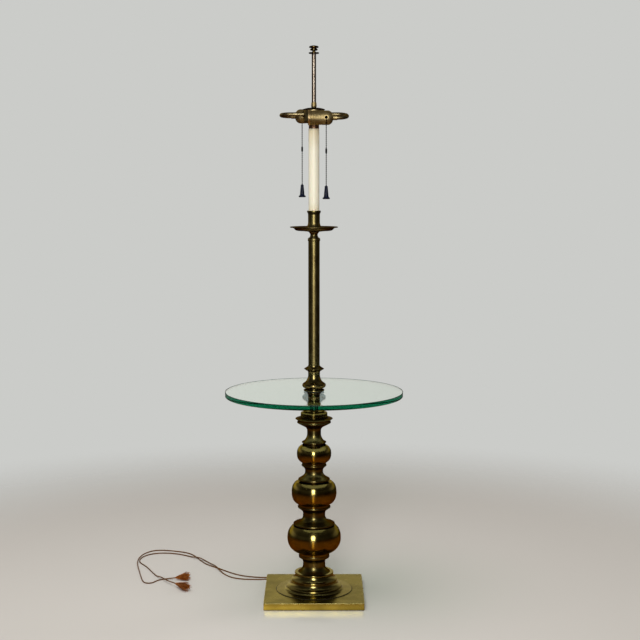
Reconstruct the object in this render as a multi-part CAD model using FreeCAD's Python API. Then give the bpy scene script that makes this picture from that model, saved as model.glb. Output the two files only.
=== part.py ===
import FreeCAD, Part
import math
import os

# Floor lamp with a round glass table, a two-light cluster and pull chains. Millimetres, +Z up.
# The origin is the centre of the felt under the base. The front faces -Y.

# ---- driving dimensions ---------------------------------------------------------------------
# base
base_side = 254.0
base_height = 18.5
base_corner_r = 3.5
base_edge_r = 1.2
sheet_wall = 2.0
felt_thickness = 3.0
felt_inset = 2.5
skirt_clear = 0.8
weight_clear = 0.6
nut_pocket_r = 16.0
nut_pocket_depth = 9.0

# pipe that clamps the stack
pipe_r = 5.0
pipe_wall = 1.5
pipe_clear = 0.15
pipe_below_nut = 1.0
nut_flats = 16.0
nut_height = 4.5
washer_r = 12.0
washer_thickness = 1.0

# stepped foot: radius of the flange and of the three rings, with their heights
foot_flange_r = 98.0
foot_flange_edge = 1.6
foot_ring_r = (71.0, 58.7, 49.8)
foot_ring_z = (7.6, 24.6, 41.8)
foot_height = 46.5

# turned necks
lower_neck_height = 46.5
lower_neck_waist_r = 28.8
middle_neck_height = 48.5
middle_neck_waist_r = 28.7
upper_neck_height = 41.0
upper_neck_waist_r = 23.2
tray_neck_height = 55.0
tray_neck_waist_r = 17.8
neck_wall = 6.0

# hollow balls: largest radius, side arc, its half angle, shoulder arc, foot radius,
# height of the widest ring above the seat, height of the flat top above the widest ring
large_ball = (69.3, 60.0, 8.0, 37.0, 39.3, 44.2, 31.8)
medium_ball = (58.0, 60.0, 12.0, 25.0, 40.3, 36.2, 27.8)
small_ball = (44.3, 45.0, 8.0, 21.0, 31.0, 28.0, 22.0)
ball_wall = 2.0
seat_ring_sizes = ((49.0, 2.5), (36.5, 4.0), (30.3, 6.5))
seat_ring_width = 9.0

# glass table
dish_r = 48.1
dish_height = 10.5
glass_seat_r = 34.8
glass_seat_height = 55.0
glass_stem_r = 15.0
glass_diameter = 455.0
glass_thickness = 12.0
glass_arris = 0.8
glass_hole_r = 6.5
under_washer = (17.0, 1.5)
over_washer = (24.0, 1.0)
clamp_r = 26.3
clamp_height = 7.0

# pole
vase_height = 41.0
vase_bulge_r = 30.2
pole_cup_height = 17.0
pole_cup_floor = 3.0
pole_cup_r = 25.3
pole_r = 14.5
pole_wall = 1.5
pole_length = 332.0
pole_clear = 0.1
pole_cap_height = 9.0
pole_cap_r = 15.7
spigot_length = 8.0

# candle
drip_neck_height = 14.0
drip_neck_waist_r = 9.3
drip_plate_r = 60.7
drip_plate_height = 13.6
drip_floor = 3.4
cup_height = 50.6
cup_floor = 3.0
cup_waist_r = 15.0
sleeve_r = 13.5
sleeve_wall = 1.3
sleeve_length = 252.4
sleeve_clear = 0.3

# two-light cluster
collar_inset = 0.5
collar_height = 14.8
collar_dip = 6.0
collar_plug_clear = 0.4
collar_rise = 0.4
body_r = 26.0
body_height = 32.0
body_wall = 2.0
body_cap_r = 27.9
body_cap_height = 5.5
outlet_z = 21.0
outlet_boss_r = 7.5
outlet_boss_length = 2.0
arm_r = 5.0
arm_wall = 1.3
arm_clear = 0.05
arm_reach = 59.0
socket_gap = 2.6
socket_drop = (10.5, 3.0)

# sockets, along their own axis from the mouth
socket_r = 17.4
socket_wall = 0.9
socket_mouth = 14.6
shell_length = 35.5
shell_lap = 4.5
cap_length = 26.0
cap_dome = 11.5
cap_neck_r = 6.1
cap_neck_length = 11.2
fit_gap = 0.05
screw_bore_r = 13.2
screw_wall = 0.6
screw_start = 6.0
screw_length = 20.0
core_length = 12.0
core_recess = 2.0
contact_r = 4.5
contact_thickness = 1.5
liner_start = 2.5

# pull switches
drum_r = 5.0
drum_width = 6.0
drum_pin_r = 1.5
drum_from_mouth = 45.1
outlet_reach = 24.0
outlet_bore_r = 2.3
outlet_tube_r = 4.2
outlet_lip_r = 6.0
bead_r = 1.6
bead_pitch = 4.8
link_r = 0.6
chain_out = 27.8
chain_gap = 0.3
upper_beads = (16, 16)
connector_r = 2.3
connector_length = 10.0
lower_beads = (17, 18)
pull_r = 9.2
pull_body_r = 5.7
pull_top_r = 3.9
pull_length = 33.0

# riser, shade seat and finial
coupling_r = 6.9
coupling_height = 13.0
coupling_nipple_r = 3.9
coupling_nipple = 9.5
riser_r = 5.5
riser_wall = 1.2
riser_seat = 4.5
riser_length = 128.8
thread_r = 3.1
thread_length = 10.0
disc_r = 13.1
disc_thickness = 3.2
finial_r = 12.1
finial_height = 16.8
finial_gap = 0.3
thread_clear = 0.08

# cord: two slim strands that end in fanned-out bare wires
strand_r = 1.6
bushing_r = 5.6
bushing_out = 4.0
bushing_shank_r = 4.6
bushing_shank = 9.0
bushing_z = 7.6
fan_r = 13.0
fan_lengths = (42.0, 62.0)
strand_a_route = (
    (1.9, 131.0, 7.6), (1.9, 143.0, 7.6), (-2.0, 156.0, 4.4), (-14.0, 165.5, 1.9),
    (-32.0, 169.0, 1.65), (-52.0, 167.5, 1.65), (-78.0, 161.5, 1.65), (-108.0, 153.0, 1.65),
    (-140.0, 150.5, 1.65), (-172.0, 156.5, 1.65), (-201.0, 169.5, 1.65), (-226.0, 191.0, 1.65),
    (-250.0, 218.0, 1.65),
    (-271.0, 243.0, 1.65), (-291.0, 262.0, 1.65), (-308.0, 284.0, 1.65), (-320.0, 309.0, 1.65),
    (-331.0, 332.0, 1.65), (-341.0, 355.0, 1.65), (-356.0, 381.0, 1.65), (-379.0, 400.0, 1.65),
    (-408.0, 411.0, 1.65), (-438.0, 421.0, 1.65), (-467.0, 418.0, 1.65), (-488.0, 394.0, 1.65),
    (-499.0, 360.0, 1.65), (-502.0, 325.0, 1.65), (-499.0, 288.0, 1.65), (-492.0, 249.0, 1.65),
    (-483.0, 210.0, 1.65), (-475.0, 172.0, 1.65), (-467.0, 137.0, 1.65), (-460.0, 113.0, 1.65),
    (-449.0, 98.0, 1.65), (-434.0, 102.0, 1.65), (-427.0, 118.0, 1.65), (-416.0, 133.0, 1.65),
    (-397.0, 139.5, 1.85), (-375.0, 135.5, 5.8),
)
strand_b_route = (
    (-1.9, 131.0, 7.6), (-1.9, 141.0, 7.6), (-5.5, 151.0, 4.4), (-15.0, 157.5, 2.0),
    (-30.0, 159.5, 1.65), (-49.0, 158.0, 1.65), (-74.0, 152.0, 1.65), (-104.0, 141.5, 1.65),
    (-136.0, 134.0, 1.65), (-168.0, 133.0, 1.65), (-200.0, 137.0, 1.65), (-226.0, 152.0, 1.65),
    (-246.0, 180.0, 1.65),
    (-260.0, 212.0, 2.2), (-275.0, 246.0, 6.6), (-290.0, 279.0, 2.2), (-307.0, 307.0, 2.2),
    (-327.0, 328.0, 6.6), (-349.0, 347.0, 2.2), (-371.0, 366.0, 1.65), (-396.0, 382.0, 1.65),
    (-424.0, 391.0, 1.65), (-453.0, 390.0, 1.65), (-477.0, 376.0, 1.65), (-492.0, 352.0, 1.65),
    (-497.5, 324.0, 1.65), (-494.0, 298.0, 1.65), (-480.0, 273.0, 1.65), (-465.0, 246.0, 1.65),
    (-453.0, 217.0, 1.65), (-441.0, 189.0, 1.65), (-430.0, 163.0, 2.2), (-413.0, 138.0, 6.6),
    (-392.0, 101.0, 7.1), (-368.0, 72.5, 9.4),
)

# ---- heights worked out from the sizes above --------------------------------------------------
bore_r = pipe_r + pipe_clear
foot_z = base_height
lower_neck_z = foot_z + foot_height
large_ball_z = lower_neck_z + lower_neck_height
large_ring_z = large_ball_z + large_ball[5] + large_ball[6]
middle_neck_z = large_ring_z + seat_ring_sizes[0][1]
medium_ball_z = middle_neck_z + middle_neck_height
medium_ring_z = medium_ball_z + medium_ball[5] + medium_ball[6]
upper_neck_z = medium_ring_z + seat_ring_sizes[1][1]
small_ball_z = upper_neck_z + upper_neck_height
small_ring_z = small_ball_z + small_ball[5] + small_ball[6]
tray_neck_z = small_ring_z + seat_ring_sizes[2][1]
dish_z = tray_neck_z + tray_neck_height
glass_seat_z = dish_z + dish_height
under_washer_z = glass_seat_z + glass_seat_height
glass_z = under_washer_z + under_washer[1]
over_washer_z = glass_z + glass_thickness
clamp_z = over_washer_z + over_washer[1]
vase_z = clamp_z + clamp_height
pole_cup_z = vase_z + vase_height
pole_z = pole_cup_z + pole_cup_floor
pole_cap_z = pole_z + pole_length
drip_neck_z = pole_cap_z + pole_cap_height
drip_plate_z = drip_neck_z + drip_neck_height
cup_z = drip_plate_z + drip_floor
sleeve_z = cup_z + cup_floor + sleeve_clear
sleeve_top_z = sleeve_z + sleeve_length
collar_z = sleeve_top_z - collar_dip
collar_r = sleeve_r - collar_inset
body_z = collar_z + collar_dip + collar_height
body_cap_z = body_z + body_height
coupling_z = body_cap_z + body_cap_height
riser_z = coupling_z + riser_seat
disc_z = riser_z + riser_length
finial_z = disc_z + disc_thickness + finial_gap
socket_offset = body_r + socket_r + socket_gap
socket_z = tuple(body_z + outlet_z - drop for drop in socket_drop)
weight_z = felt_thickness
pocket_top_z = weight_z + nut_pocket_depth
bottom_nut_z = pocket_top_z - washer_thickness - nut_height
pipe_z = bottom_nut_z - pipe_below_nut
pipe_top_z = body_z + body_wall + washer_thickness + nut_height + pipe_below_nut


def vec(x, y, z):
    return FreeCAD.Vector(x, y, z)


# ---- turned work ------------------------------------------------------------------------------
# An outline is a list of steps in (radius, height): two numbers are a straight line to that
# point, four numbers are an arc through the first pair to the second pair.
def turned(outline, lift=0.0):
    start = vec(outline[0][0], 0, outline[0][1])
    here = start
    edges = []
    for step in list(outline[1:]) + [outline[0]]:
        there = vec(step[-2], 0, step[-1])
        if (there - here).Length < 1e-7:
            continue
        if len(step) == 4:
            edges.append(Part.Arc(here, vec(step[0], 0, step[1]), there).toShape())
        else:
            edges.append(Part.LineSegment(here, there).toShape())
        here = there
    face = Part.Face(Part.Wire(edges))
    solid = face.revolve(vec(0, 0, 0), vec(0, 0, 1), 360)
    return solid.translated(vec(0, 0, lift))


def tube(outer_r, inner_r, height, lift=0.0):
    return turned([(inner_r, 0), (outer_r, 0), (outer_r, height), (inner_r, height)], lift)


# A cove leaves an upright waist with an arc and runs on straight, tangent to it, to an edge.
# It is given from the waist to the edge; way is +1 when the edge is above the waist.
def cove(waist_r, waist_z, edge_r, edge_z, arc_r):
    way = 1.0 if edge_z > waist_z else -1.0
    centre_r = waist_r + arc_r
    dr = edge_r - centre_r
    dz = (edge_z - waist_z) * way
    reach = math.hypot(dr, dz)
    bearing = math.atan2(dz, dr)
    turn = bearing + math.acos(min(1.0, arc_r / reach))
    half = (math.pi + turn) / 2.0

    def on_arc(angle):
        return (centre_r + arc_r * math.cos(angle), waist_z + way * arc_r * math.sin(angle))

    return on_arc(half) + on_arc(turn), (edge_r, edge_z)


def cove_from_edge(waist_r, waist_z, edge_r, edge_z, arc_r):
    arc, edge = cove(waist_r, waist_z, edge_r, edge_z, arc_r)
    return [edge, arc[2:], arc[:2] + (waist_r, waist_z)]


def cove_to_edge(waist_r, waist_z, edge_r, edge_z, arc_r):
    arc, edge = cove(waist_r, waist_z, edge_r, edge_z, arc_r)
    return [(waist_r, waist_z), arc, edge]


# A bead is the rounded upright edge of a ring.
def bead(edge_r, low_z, high_z, bulge=0.35, ease=0.9):
    middle = (low_z + high_z) / 2.0
    return [(edge_r - ease, low_z), (edge_r, low_z + ease * 0.6),
            (edge_r + bulge, middle, edge_r, high_z - ease * 0.6), (edge_r - ease, high_z)]


def neck_bore(waist_r):
    return max(bore_r, waist_r - neck_wall)


# ---- base -------------------------------------------------------------------------------------
def base_plate():
    half = base_side / 2.0
    outer = Part.makeBox(base_side, base_side, base_height - skirt_clear, vec(-half, -half, skirt_clear))
    upright = [e for e in outer.Edges if abs(e.tangentAt(e.FirstParameter).z) > 0.9]
    outer = outer.makeFillet(base_corner_r, upright)
    rim = [e for e in outer.Edges if abs(e.CenterOfMass.z - base_height) < 1e-4]
    outer = outer.makeFillet(base_edge_r, rim)
    inside = half - sheet_wall
    cavity = Part.makeBox(2 * inside, 2 * inside, base_height - sheet_wall, vec(-inside, -inside, 0))
    corners = [e for e in cavity.Edges if abs(e.tangentAt(e.FirstParameter).z) > 0.9]
    cavity = cavity.makeFillet(max(base_corner_r - sheet_wall, 0.5), corners)
    pipe_hole = Part.makeCylinder(bore_r, base_height + 1, vec(0, 0, 0))
    cord_hole = Part.makeCylinder(bushing_shank_r + fit_gap, 2 * sheet_wall + 2,
                                  vec(0, inside - 1, bushing_z), vec(0, 1, 0))
    return outer.cut(cavity).cut(pipe_hole).cut(cord_hole)


def base_weight():
    half = base_side / 2.0 - sheet_wall - weight_clear
    height = base_height - sheet_wall - felt_thickness
    slab = Part.makeBox(2 * half, 2 * half, height, vec(-half, -half, weight_z))
    corners = [e for e in slab.Edges if abs(e.tangentAt(e.FirstParameter).z) > 0.9]
    slab = slab.makeFillet(base_corner_r, corners)
    pocket = Part.makeCylinder(nut_pocket_r, nut_pocket_depth, vec(0, 0, weight_z))
    pipe_hole = Part.makeCylinder(bore_r, height + 1, vec(0, 0, weight_z))
    room = bushing_shank + 6.0
    channel = Part.makeBox(2 * bushing_r + 4, half + 1, 2 * (bushing_z - weight_z),
                           vec(-bushing_r - 2, 0, weight_z))
    end_room = Part.makeBox(2 * bushing_r + 4, room, height, vec(-bushing_r - 2, half - room + 1, weight_z))
    return slab.cut(pocket).cut(pipe_hole).cut(channel).cut(end_room)


def felt_pad():
    half = base_side / 2.0 - felt_inset
    pad = Part.makeBox(2 * half, 2 * half, felt_thickness, vec(-half, -half, 0))
    corners = [e for e in pad.Edges if abs(e.tangentAt(e.FirstParameter).z) > 0.9]
    return pad.makeFillet(base_corner_r, corners)


def hex_nut(lift):
    across = nut_flats / math.sqrt(3)
    corners = [vec(across * math.cos(math.radians(60 * i)), across * math.sin(math.radians(60 * i)), lift)
               for i in range(6)]
    face = Part.Face(Part.makePolygon(corners + [corners[0]]))
    return face.extrude(vec(0, 0, nut_height)).cut(Part.makeCylinder(bore_r, nut_height, vec(0, 0, lift)))


def pipe_nuts():
    top = body_z + body_wall + washer_thickness
    return Part.makeCompound([hex_nut(bottom_nut_z), hex_nut(top)])


def pipe_washers():
    low = tube(washer_r, bore_r, washer_thickness, pocket_top_z - washer_thickness)
    high = tube(washer_r, bore_r, washer_thickness, body_z + body_wall)
    return Part.makeCompound([low, high])


def threaded_pipe():
    return tube(pipe_r, pipe_r - pipe_wall, pipe_top_z - pipe_z, pipe_z)


def cord_bushing():
    wall_y = base_side / 2.0
    centre = vec(0, wall_y, bushing_z)
    flange = Part.makeCylinder(bushing_r, bushing_out, centre, vec(0, 1, 0))
    outer_rim = [e for e in flange.Edges if abs(e.CenterOfMass.y - wall_y - bushing_out) < 1e-4]
    flange = flange.makeFillet(1.0, outer_rim)
    shank = Part.makeCylinder(bushing_shank_r, bushing_shank, centre - vec(0, bushing_shank, 0), vec(0, 1, 0))
    return flange.fuse(shank).removeSplitter()


# ---- foot, necks and balls --------------------------------------------------------------------
def stepped_foot():
    (r1, r2, r3) = foot_ring_r
    (z1, z2, z3) = foot_ring_z
    outline = [
        (foot_flange_r, 0), (foot_flange_r, foot_flange_edge * 0.55),
        (foot_flange_r - 0.7, foot_flange_edge), (r1 + 8.0, foot_flange_edge + 0.6),
        (r1 + 2.6, foot_flange_edge + 1.8, r1 - 0.4, z1 - 1.2),
    ]
    outline += bead(r1, z1 - 0.6, z1 + 3.4)
    outline += [(r2 + 8.0, z1 + 4.4), (r2 + 1.2, z1 + 8.2, r2 - 1.8, z2 - 0.8)]
    outline += bead(r2, z2 - 0.6, z2 + 4.6)
    outline += [(r3 + 4.6, z2 + 6.2), (r3 + 0.6, z2 + 10.4, r3 - 1.6, z3 - 0.8)]
    outline += bead(r3, z3 - 0.6, foot_height)
    outline += [(bore_r, foot_height), (bore_r, foot_height - 8), (r3 - 12, foot_height - 8),
                (r2 - 14.5, z2 - 1), (r1 - 14, z1 + 1), (r1 - 6, 0)]
    return turned(outline, foot_z)


def lower_neck():
    waist = lower_neck_waist_r
    top = lower_neck_height
    bore = neck_bore(waist)
    outline = [(bore, 0)]
    outline += cove_from_edge(waist, 18.0, waist + 12.8, 0, 17.2)
    outline += cove_to_edge(waist, 25.5, large_ball[4] - 1.2, top - 8.9, 11.2)
    outline += bead(large_ball[4] + 0.1, top - 8.2, top)
    outline += [(bore, top)]
    return turned(outline, lower_neck_z)


def flanged_neck(rim_r, rim_edge, waist_r, low_waist, high_waist, low_arc, high_arc, head_r, head_edge,
                 height):
    bore = neck_bore(waist_r)
    outline = [(bore, 0)]
    outline += bead(rim_r, 0, rim_edge)
    outline += cove_from_edge(waist_r, low_waist, rim_r - 2.6, rim_edge + 0.4, low_arc)
    outline += cove_to_edge(waist_r, high_waist, head_r - 1.2, height - head_edge - 0.6, high_arc)
    outline += bead(head_r, height - head_edge, height)
    outline += [(bore, height)]
    return outline


def middle_neck():
    outline = flanged_neck(53.2, 4.2, middle_neck_waist_r, 23.5, 28.5, 15.0, 13.0, 42.2, 3.8,
                           middle_neck_height)
    return turned(outline, middle_neck_z)


def upper_neck():
    outline = flanged_neck(40.4, 4.4, upper_neck_waist_r, 22.5, 25.0, 14.0, 11.0, 32.0, 3.6,
                           upper_neck_height)
    return turned(outline, upper_neck_z)


def tray_neck():
    outline = flanged_neck(31.0, 3.4, tray_neck_waist_r, 24.0, 31.0, 25.0, 12.5, 43.3, 3.0, tray_neck_height)
    return turned(outline, tray_neck_z)


# The outline of a ball is a side arc with a tighter shoulder arc above and below it.
def ball_outline(sizes, shrink, low, high, foot_r):
    (wide_r, side_r, half_angle, shoulder_r, _, middle, _) = sizes
    angle = math.radians(half_angle)
    side_centre = wide_r - side_r
    gap = side_r - shoulder_r
    centre_r = side_centre + gap * math.cos(angle)
    centre_h = gap * math.sin(angle)
    side = side_r - shrink
    shoulder = shoulder_r - shrink

    def on_side(a):
        return (side_centre + side * math.cos(a), middle + side * math.sin(a))

    def on_shoulder(a, up):
        return (centre_r + shoulder * math.cos(a), middle + up * (centre_h + shoulder * math.sin(a)))

    high_angle = math.asin((high - centre_h) / shoulder)
    if foot_r is None:
        low_angle = math.asin((-low - centre_h) / shoulder)
    else:
        low_angle = math.acos((foot_r - centre_r) / shoulder)
    start = on_shoulder(low_angle, -1)
    steps = [start, on_shoulder((low_angle + angle) / 2, -1) + on_shoulder(angle, -1),
             on_side(0) + on_side(angle),
             on_shoulder((high_angle + angle) / 2, 1) + on_shoulder(high_angle, 1)]
    return steps


def hollow_ball(sizes, lift):
    foot_r = sizes[4]
    middle = sizes[5]
    high = sizes[6]
    outside = ball_outline(sizes, 0.0, 0.0, high, foot_r)
    top_z = middle + high
    solid = turned([(0, 0), (foot_r, 0)] + outside + [(0, top_z)])
    inner_high = high - ball_wall
    inner_low = -(sizes[3] - ball_wall) * 0.86
    inside = ball_outline(sizes, ball_wall, inner_low, inner_high, None)
    cavity = turned([(0, inside[0][1])] + inside + [(0, middle + inner_high)])
    hole = Part.makeCylinder(foot_r - 12.0, middle, vec(0, 0, 0))
    top_hole = Part.makeCylinder(bore_r, top_z)
    return solid.cut(cavity).cut(hole).cut(top_hole).translated(vec(0, 0, lift))


def ball_large():
    return hollow_ball(large_ball, large_ball_z)


def ball_medium():
    return hollow_ball(medium_ball, medium_ball_z)


def ball_small():
    return hollow_ball(small_ball, small_ball_z)


def seat_rings():
    (large, medium, small) = seat_ring_sizes
    first = tube(large[0], large[0] - seat_ring_width, large[1], large_ring_z)
    second = tube(medium[0], medium[0] - seat_ring_width, medium[1], medium_ring_z)
    lip = small[1] * 0.34
    third = turned([(small[0] - seat_ring_width, 0), (small[0] - 0.4, 0),
                    (small[0] + 0.2, lip / 2, small[0] - 0.4, lip), (small[0] - 2.2, lip + 0.7),
                    (small[0] - 2.2, small[1]), (small[0] - seat_ring_width, small[1])], small_ring_z)
    return Part.makeCompound([first, second, third])


# ---- glass table ------------------------------------------------------------------------------
def tray_dish():
    lip = dish_height - 3.3
    outline = [(bore_r, 0), (dish_r - 5.8, 0), (dish_r - 6.1, 1.2),
               (dish_r - 4.6, lip - 2.6, dish_r - 0.9, lip), (dish_r, lip + 0.9),
               (dish_r - 0.9, lip + 1.7), (glass_seat_r + 2.2, dish_height), (bore_r, dish_height)]
    return turned(outline, dish_z)


def glass_seat():
    edge = glass_seat_r
    top = glass_seat_height
    outline = [(bore_r, 0), (edge - 0.4, 0), (edge, 0.5), (edge, 5.4), (edge - 1.1, 6.1),
               (edge - 0.5, 6.9), (edge - 0.5, 11.4), (edge - 1.3, 13.6, edge - 3.8, 14.5),
               (edge - 7.8, 15.0), (edge - 7.8, 18.4)]
    outline += cove_from_edge(glass_stem_r, 32.5, edge - 9.4, 19.4, 12.0)
    outline += [(glass_stem_r, top - 5.0), (under_washer[0] + 0.2, top - 2.6),
                (under_washer[0] + 0.6, top - 1.4), (under_washer[0] + 0.6, top), (bore_r, top)]
    return turned(outline, glass_seat_z)


def glass_washers():
    low = tube(under_washer[0], bore_r, under_washer[1], under_washer_z)
    high = tube(over_washer[0], bore_r, over_washer[1], over_washer_z)
    return Part.makeCompound([low, high])


def glass_table():
    edge = glass_diameter / 2.0
    outline = [(glass_hole_r, 0), (edge - glass_arris, 0), (edge, glass_arris),
               (edge, glass_thickness - glass_arris), (edge - glass_arris, glass_thickness),
               (glass_hole_r, glass_thickness)]
    return turned(outline, glass_z)


def glass_clamp():
    outline = [(bore_r, 0)] + bead(clamp_r, 0, 3.9)
    outline += [(clamp_r - 3.2, 4.6), (clamp_r - 4.8, 5.6, clamp_r - 5.0, clamp_height),
                (bore_r, clamp_height)]
    return turned(outline, clamp_z)


# ---- pole -------------------------------------------------------------------------------------
def vase():
    foot = clamp_r - 5.0
    bulge = vase_bulge_r
    top_r = pole_r + 0.75
    outline = [(bore_r, 0), (foot, 0), (foot + 1.9, 1.0),
               (bulge, 7.8, bulge - 3.2, 13.0), (bulge - 9.2, 17.9, bulge - 12.7, 23.2),
               (top_r + 0.45, 28.8, top_r - 0.2, 34.8), (top_r, vase_height), (bore_r, vase_height)]
    return turned(outline, vase_z)


def pole_cup():
    inner = pole_r + pole_clear
    foot = pole_r + 0.75
    lip = pole_cup_height * 0.53
    outline = [(bore_r, 0), (foot, 0), (foot + 0.9, 2.4, foot + 4.2, lip - 4.4),
               (pole_cup_r - 0.6, lip - 0.9), (pole_cup_r, lip, pole_cup_r - 0.8, lip + 0.8),
               (inner + 1.2, pole_cup_height - 1.6), (inner + 0.8, pole_cup_height),
               (inner, pole_cup_height), (inner, pole_cup_floor), (bore_r, pole_cup_floor)]
    return turned(outline, pole_cup_z)


def pole_tube():
    return tube(pole_r, pole_r - pole_wall, pole_length, pole_z)


def pole_cap():
    spigot = pole_r - pole_wall - pole_clear
    outline = [(bore_r, -spigot_length), (spigot, -spigot_length), (spigot, 0), (pole_r + 0.3, 0),
               (pole_cap_r, 1.0), (pole_cap_r + 0.2, 3.0, pole_cap_r - 0.1, 5.0),
               (pole_cap_r - 0.9, 7.6, pole_cap_r - 3.9, pole_cap_height), (bore_r, pole_cap_height)]
    return turned(outline, pole_cap_z)


def drip_neck():
    waist = drip_neck_waist_r
    outline = [(bore_r, 0)]
    outline += cove_from_edge(waist, 6.3, pole_cap_r - 4.1, 0, 5.2)
    outline += cove_to_edge(waist, 6.9, 12.9, drip_neck_height, 6.4)
    outline += [(bore_r, drip_neck_height)]
    return turned(outline, drip_neck_z)


def drip_plate():
    edge = drip_plate_r
    rim = drip_plate_height
    outline = [(bore_r, 0), (13.2, 0), (14.6, 1.0), (edge - 22.0, 3.4),
               (edge - 14.6, 4.6, edge - 10.8, 8.0), (edge - 7.8, 10.1, edge - 1.6, rim - 2.3),
               (edge, rim - 1.3, edge - 0.6, rim), (edge - 7.8, rim - 1.7),
               (edge - 11.2, rim - 3.4, edge - 13.2, 7.6), (edge - 17.0, 5.8, edge - 24.0, 5.0),
               (26.0, drip_floor), (bore_r, drip_floor)]
    return turned(outline, drip_plate_z)


def candle_cup():
    inner = sleeve_r + sleeve_clear
    waist = cup_waist_r
    top = cup_height
    outline = [(bore_r, 0), (24.0, 0), (24.4, 1.0)]
    outline += cove_from_edge(waist, 22.0, 23.6, 1.9, 22.0)
    outline += [(waist, top - 12.0), (waist + 0.5, top - 7.6, waist + 2.0, top - 4.2),
                (waist + 2.4, top - 3.6), (waist + 2.4, top - 0.6), (waist + 1.8, top), (inner, top),
                (inner, cup_floor), (bore_r, cup_floor)]
    return turned(outline, cup_z)


def candle_sleeve():
    return tube(sleeve_r, sleeve_r - sleeve_wall, sleeve_length, sleeve_z)


# ---- cluster ----------------------------------------------------------------------------------
def cluster_collar():
    height = collar_dip + collar_height
    plug = sleeve_r - sleeve_wall - collar_plug_clear
    seat = collar_dip + collar_rise
    outline = [(bore_r, 0), (plug - 1.0, 0), (plug, 1.0), (plug, seat), (collar_r - 0.5, seat),
               (collar_r, seat + 0.5), (collar_r, height - 3.4), (collar_r + 1.0, height - 2.6),
               (collar_r + 1.0, height), (bore_r, height)]
    return turned(outline, collar_z)


def cluster_body():
    top = body_height
    inner = body_r - body_wall
    pot = turned([(bore_r, 0), (body_r - 5.0, 0), (body_r - 1.5, 1.5, body_r, 5.0), (body_r, top),
                  (inner, top), (inner, 6.0), (inner - 1.2, 3.2, inner - 4.0, body_wall),
                  (bore_r, body_wall)], body_z)
    height = body_z + outlet_z
    reach = body_r + outlet_boss_length
    for side in (-1, 1):
        boss = Part.makeCylinder(outlet_boss_r, reach - inner, vec(side * inner, 0, height), vec(side, 0, 0))
        pot = pot.fuse(boss)
    hollow = Part.makeCylinder(inner, top - 6.0, vec(0, 0, body_z + 6.0))
    hole = Part.makeCylinder(arm_r + arm_clear, 2 * reach + 2, vec(-reach - 1, 0, height), vec(1, 0, 0))
    return pot.cut(hollow).cut(hole).removeSplitter()


def cluster_cap():
    edge = body_cap_r
    top = body_cap_height
    outline = [(coupling_nipple_r + pipe_clear, 0), (edge - 0.6, 0), (edge, 0.7), (edge - 0.4, 1.7),
               (edge * 0.62, top - 1.0, coupling_r + 1.0, top), (coupling_nipple_r + pipe_clear, top)]
    return turned(outline, body_cap_z)


# The arm leaves the body, turns back through half a circle and enters the socket cap.
# side is +1 for the right arm, which serves the front socket, and -1 for its twin.
def arm(side):
    height = body_z + outlet_z
    inner_x = body_r - body_wall
    cap_end = cap_end_x()
    rise = vec(0, -socket_offset, axis_z(side) - height)
    centre = vec(arm_reach, 0, height) + rise * 0.5
    far = centre + vec(rise.Length / 2.0, 0, 0)
    start = vec(inner_x, 0, height)
    bend_in = vec(arm_reach, 0, height)
    bend_out = bend_in + rise
    end = vec(cap_end, 0, height) + rise
    path = Part.Wire([Part.LineSegment(start, bend_in).toShape(),
                      Part.Arc(bend_in, far, bend_out).toShape(),
                      Part.LineSegment(bend_out, end).toShape()])
    solid = swept(path, start, vec(1, 0, 0), arm_r)
    bore = swept(path, start, vec(1, 0, 0), arm_r - arm_wall)
    solid = solid.cut(bore)
    if side < 0:
        solid.rotate(vec(0, 0, 0), vec(0, 0, 1), 180)
    return solid


def swept(path, start, heading, radius):
    ring = Part.Wire(Part.makeCircle(radius, start, heading))
    shell = Part.BRepOffsetAPI.MakePipeShell(path)
    shell.add(ring)
    shell.setTransitionMode(1)
    shell.build()
    shell.makeSolid()
    return shell.shape()


# ---- sockets ----------------------------------------------------------------------------------
# side is +1 for the front socket and -1 for the back one.
def axis_z(side):
    return socket_z[0] if side > 0 else socket_z[1]


# A socket piece is turned about Z with its mouth at height 0, then laid along X.
def cap_end_x():
    return shell_length + cap_length + 1.0 - socket_mouth


def laid(shape, side):
    shape = shape.copy()
    shape.rotate(vec(0, 0, 0), vec(0, 1, 0), 90)
    shape.translate(vec(-socket_mouth, -socket_offset, axis_z(side)))
    if side < 0:
        shape.rotate(vec(0, 0, 0), vec(0, 0, 1), 180)
    return shape


def both(make):
    return Part.makeCompound([laid(make(), side) for side in (1, -1)])


def lap_r():
    return socket_r - socket_wall


def shell_blank():
    inner = socket_r - socket_wall
    lap = lap_r() - fit_gap
    outline = [(inner, 0), (socket_r + 0.6, 0), (socket_r + 0.9, 0.8, socket_r + 0.5, 1.8),
               (socket_r, 2.6), (socket_r, 8.6), (socket_r - 0.5, 9.3, socket_r, 10.0),
               (socket_r, shell_length), (lap, shell_length), (lap, shell_length + shell_lap),
               (lap - socket_wall, shell_length + shell_lap), (lap - socket_wall, shell_length - 1.0),
               (inner, shell_length - 2.0)]
    return turned(outline)


def cap_blank():
    low = shell_length
    high = shell_length + cap_length
    inner = lap_r()
    dome = high - cap_dome
    neck = cap_neck_r
    neck_end = high + cap_neck_length
    hole = arm_r + arm_clear
    outline = [(inner, low), (socket_r + 0.4, low), (socket_r + 0.4, dome),
               (socket_r * 0.82, dome + cap_dome * 0.66, neck + 1.6, high), (neck, high + 0.8),
               (neck, neck_end - 0.5), (neck - 0.5, neck_end), (hole, neck_end), (hole, high - 1.2),
               (inner * 0.76, dome + cap_dome * 0.56, inner, dome - 1.0)]
    cap = turned(outline)
    side_hole = Part.makeCylinder(outlet_tube_r + fit_gap, socket_r * 2, vec(0, 0, drum_from_mouth),
                                  vec(0, -1, 0))
    return cap.cut(side_hole)


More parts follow.
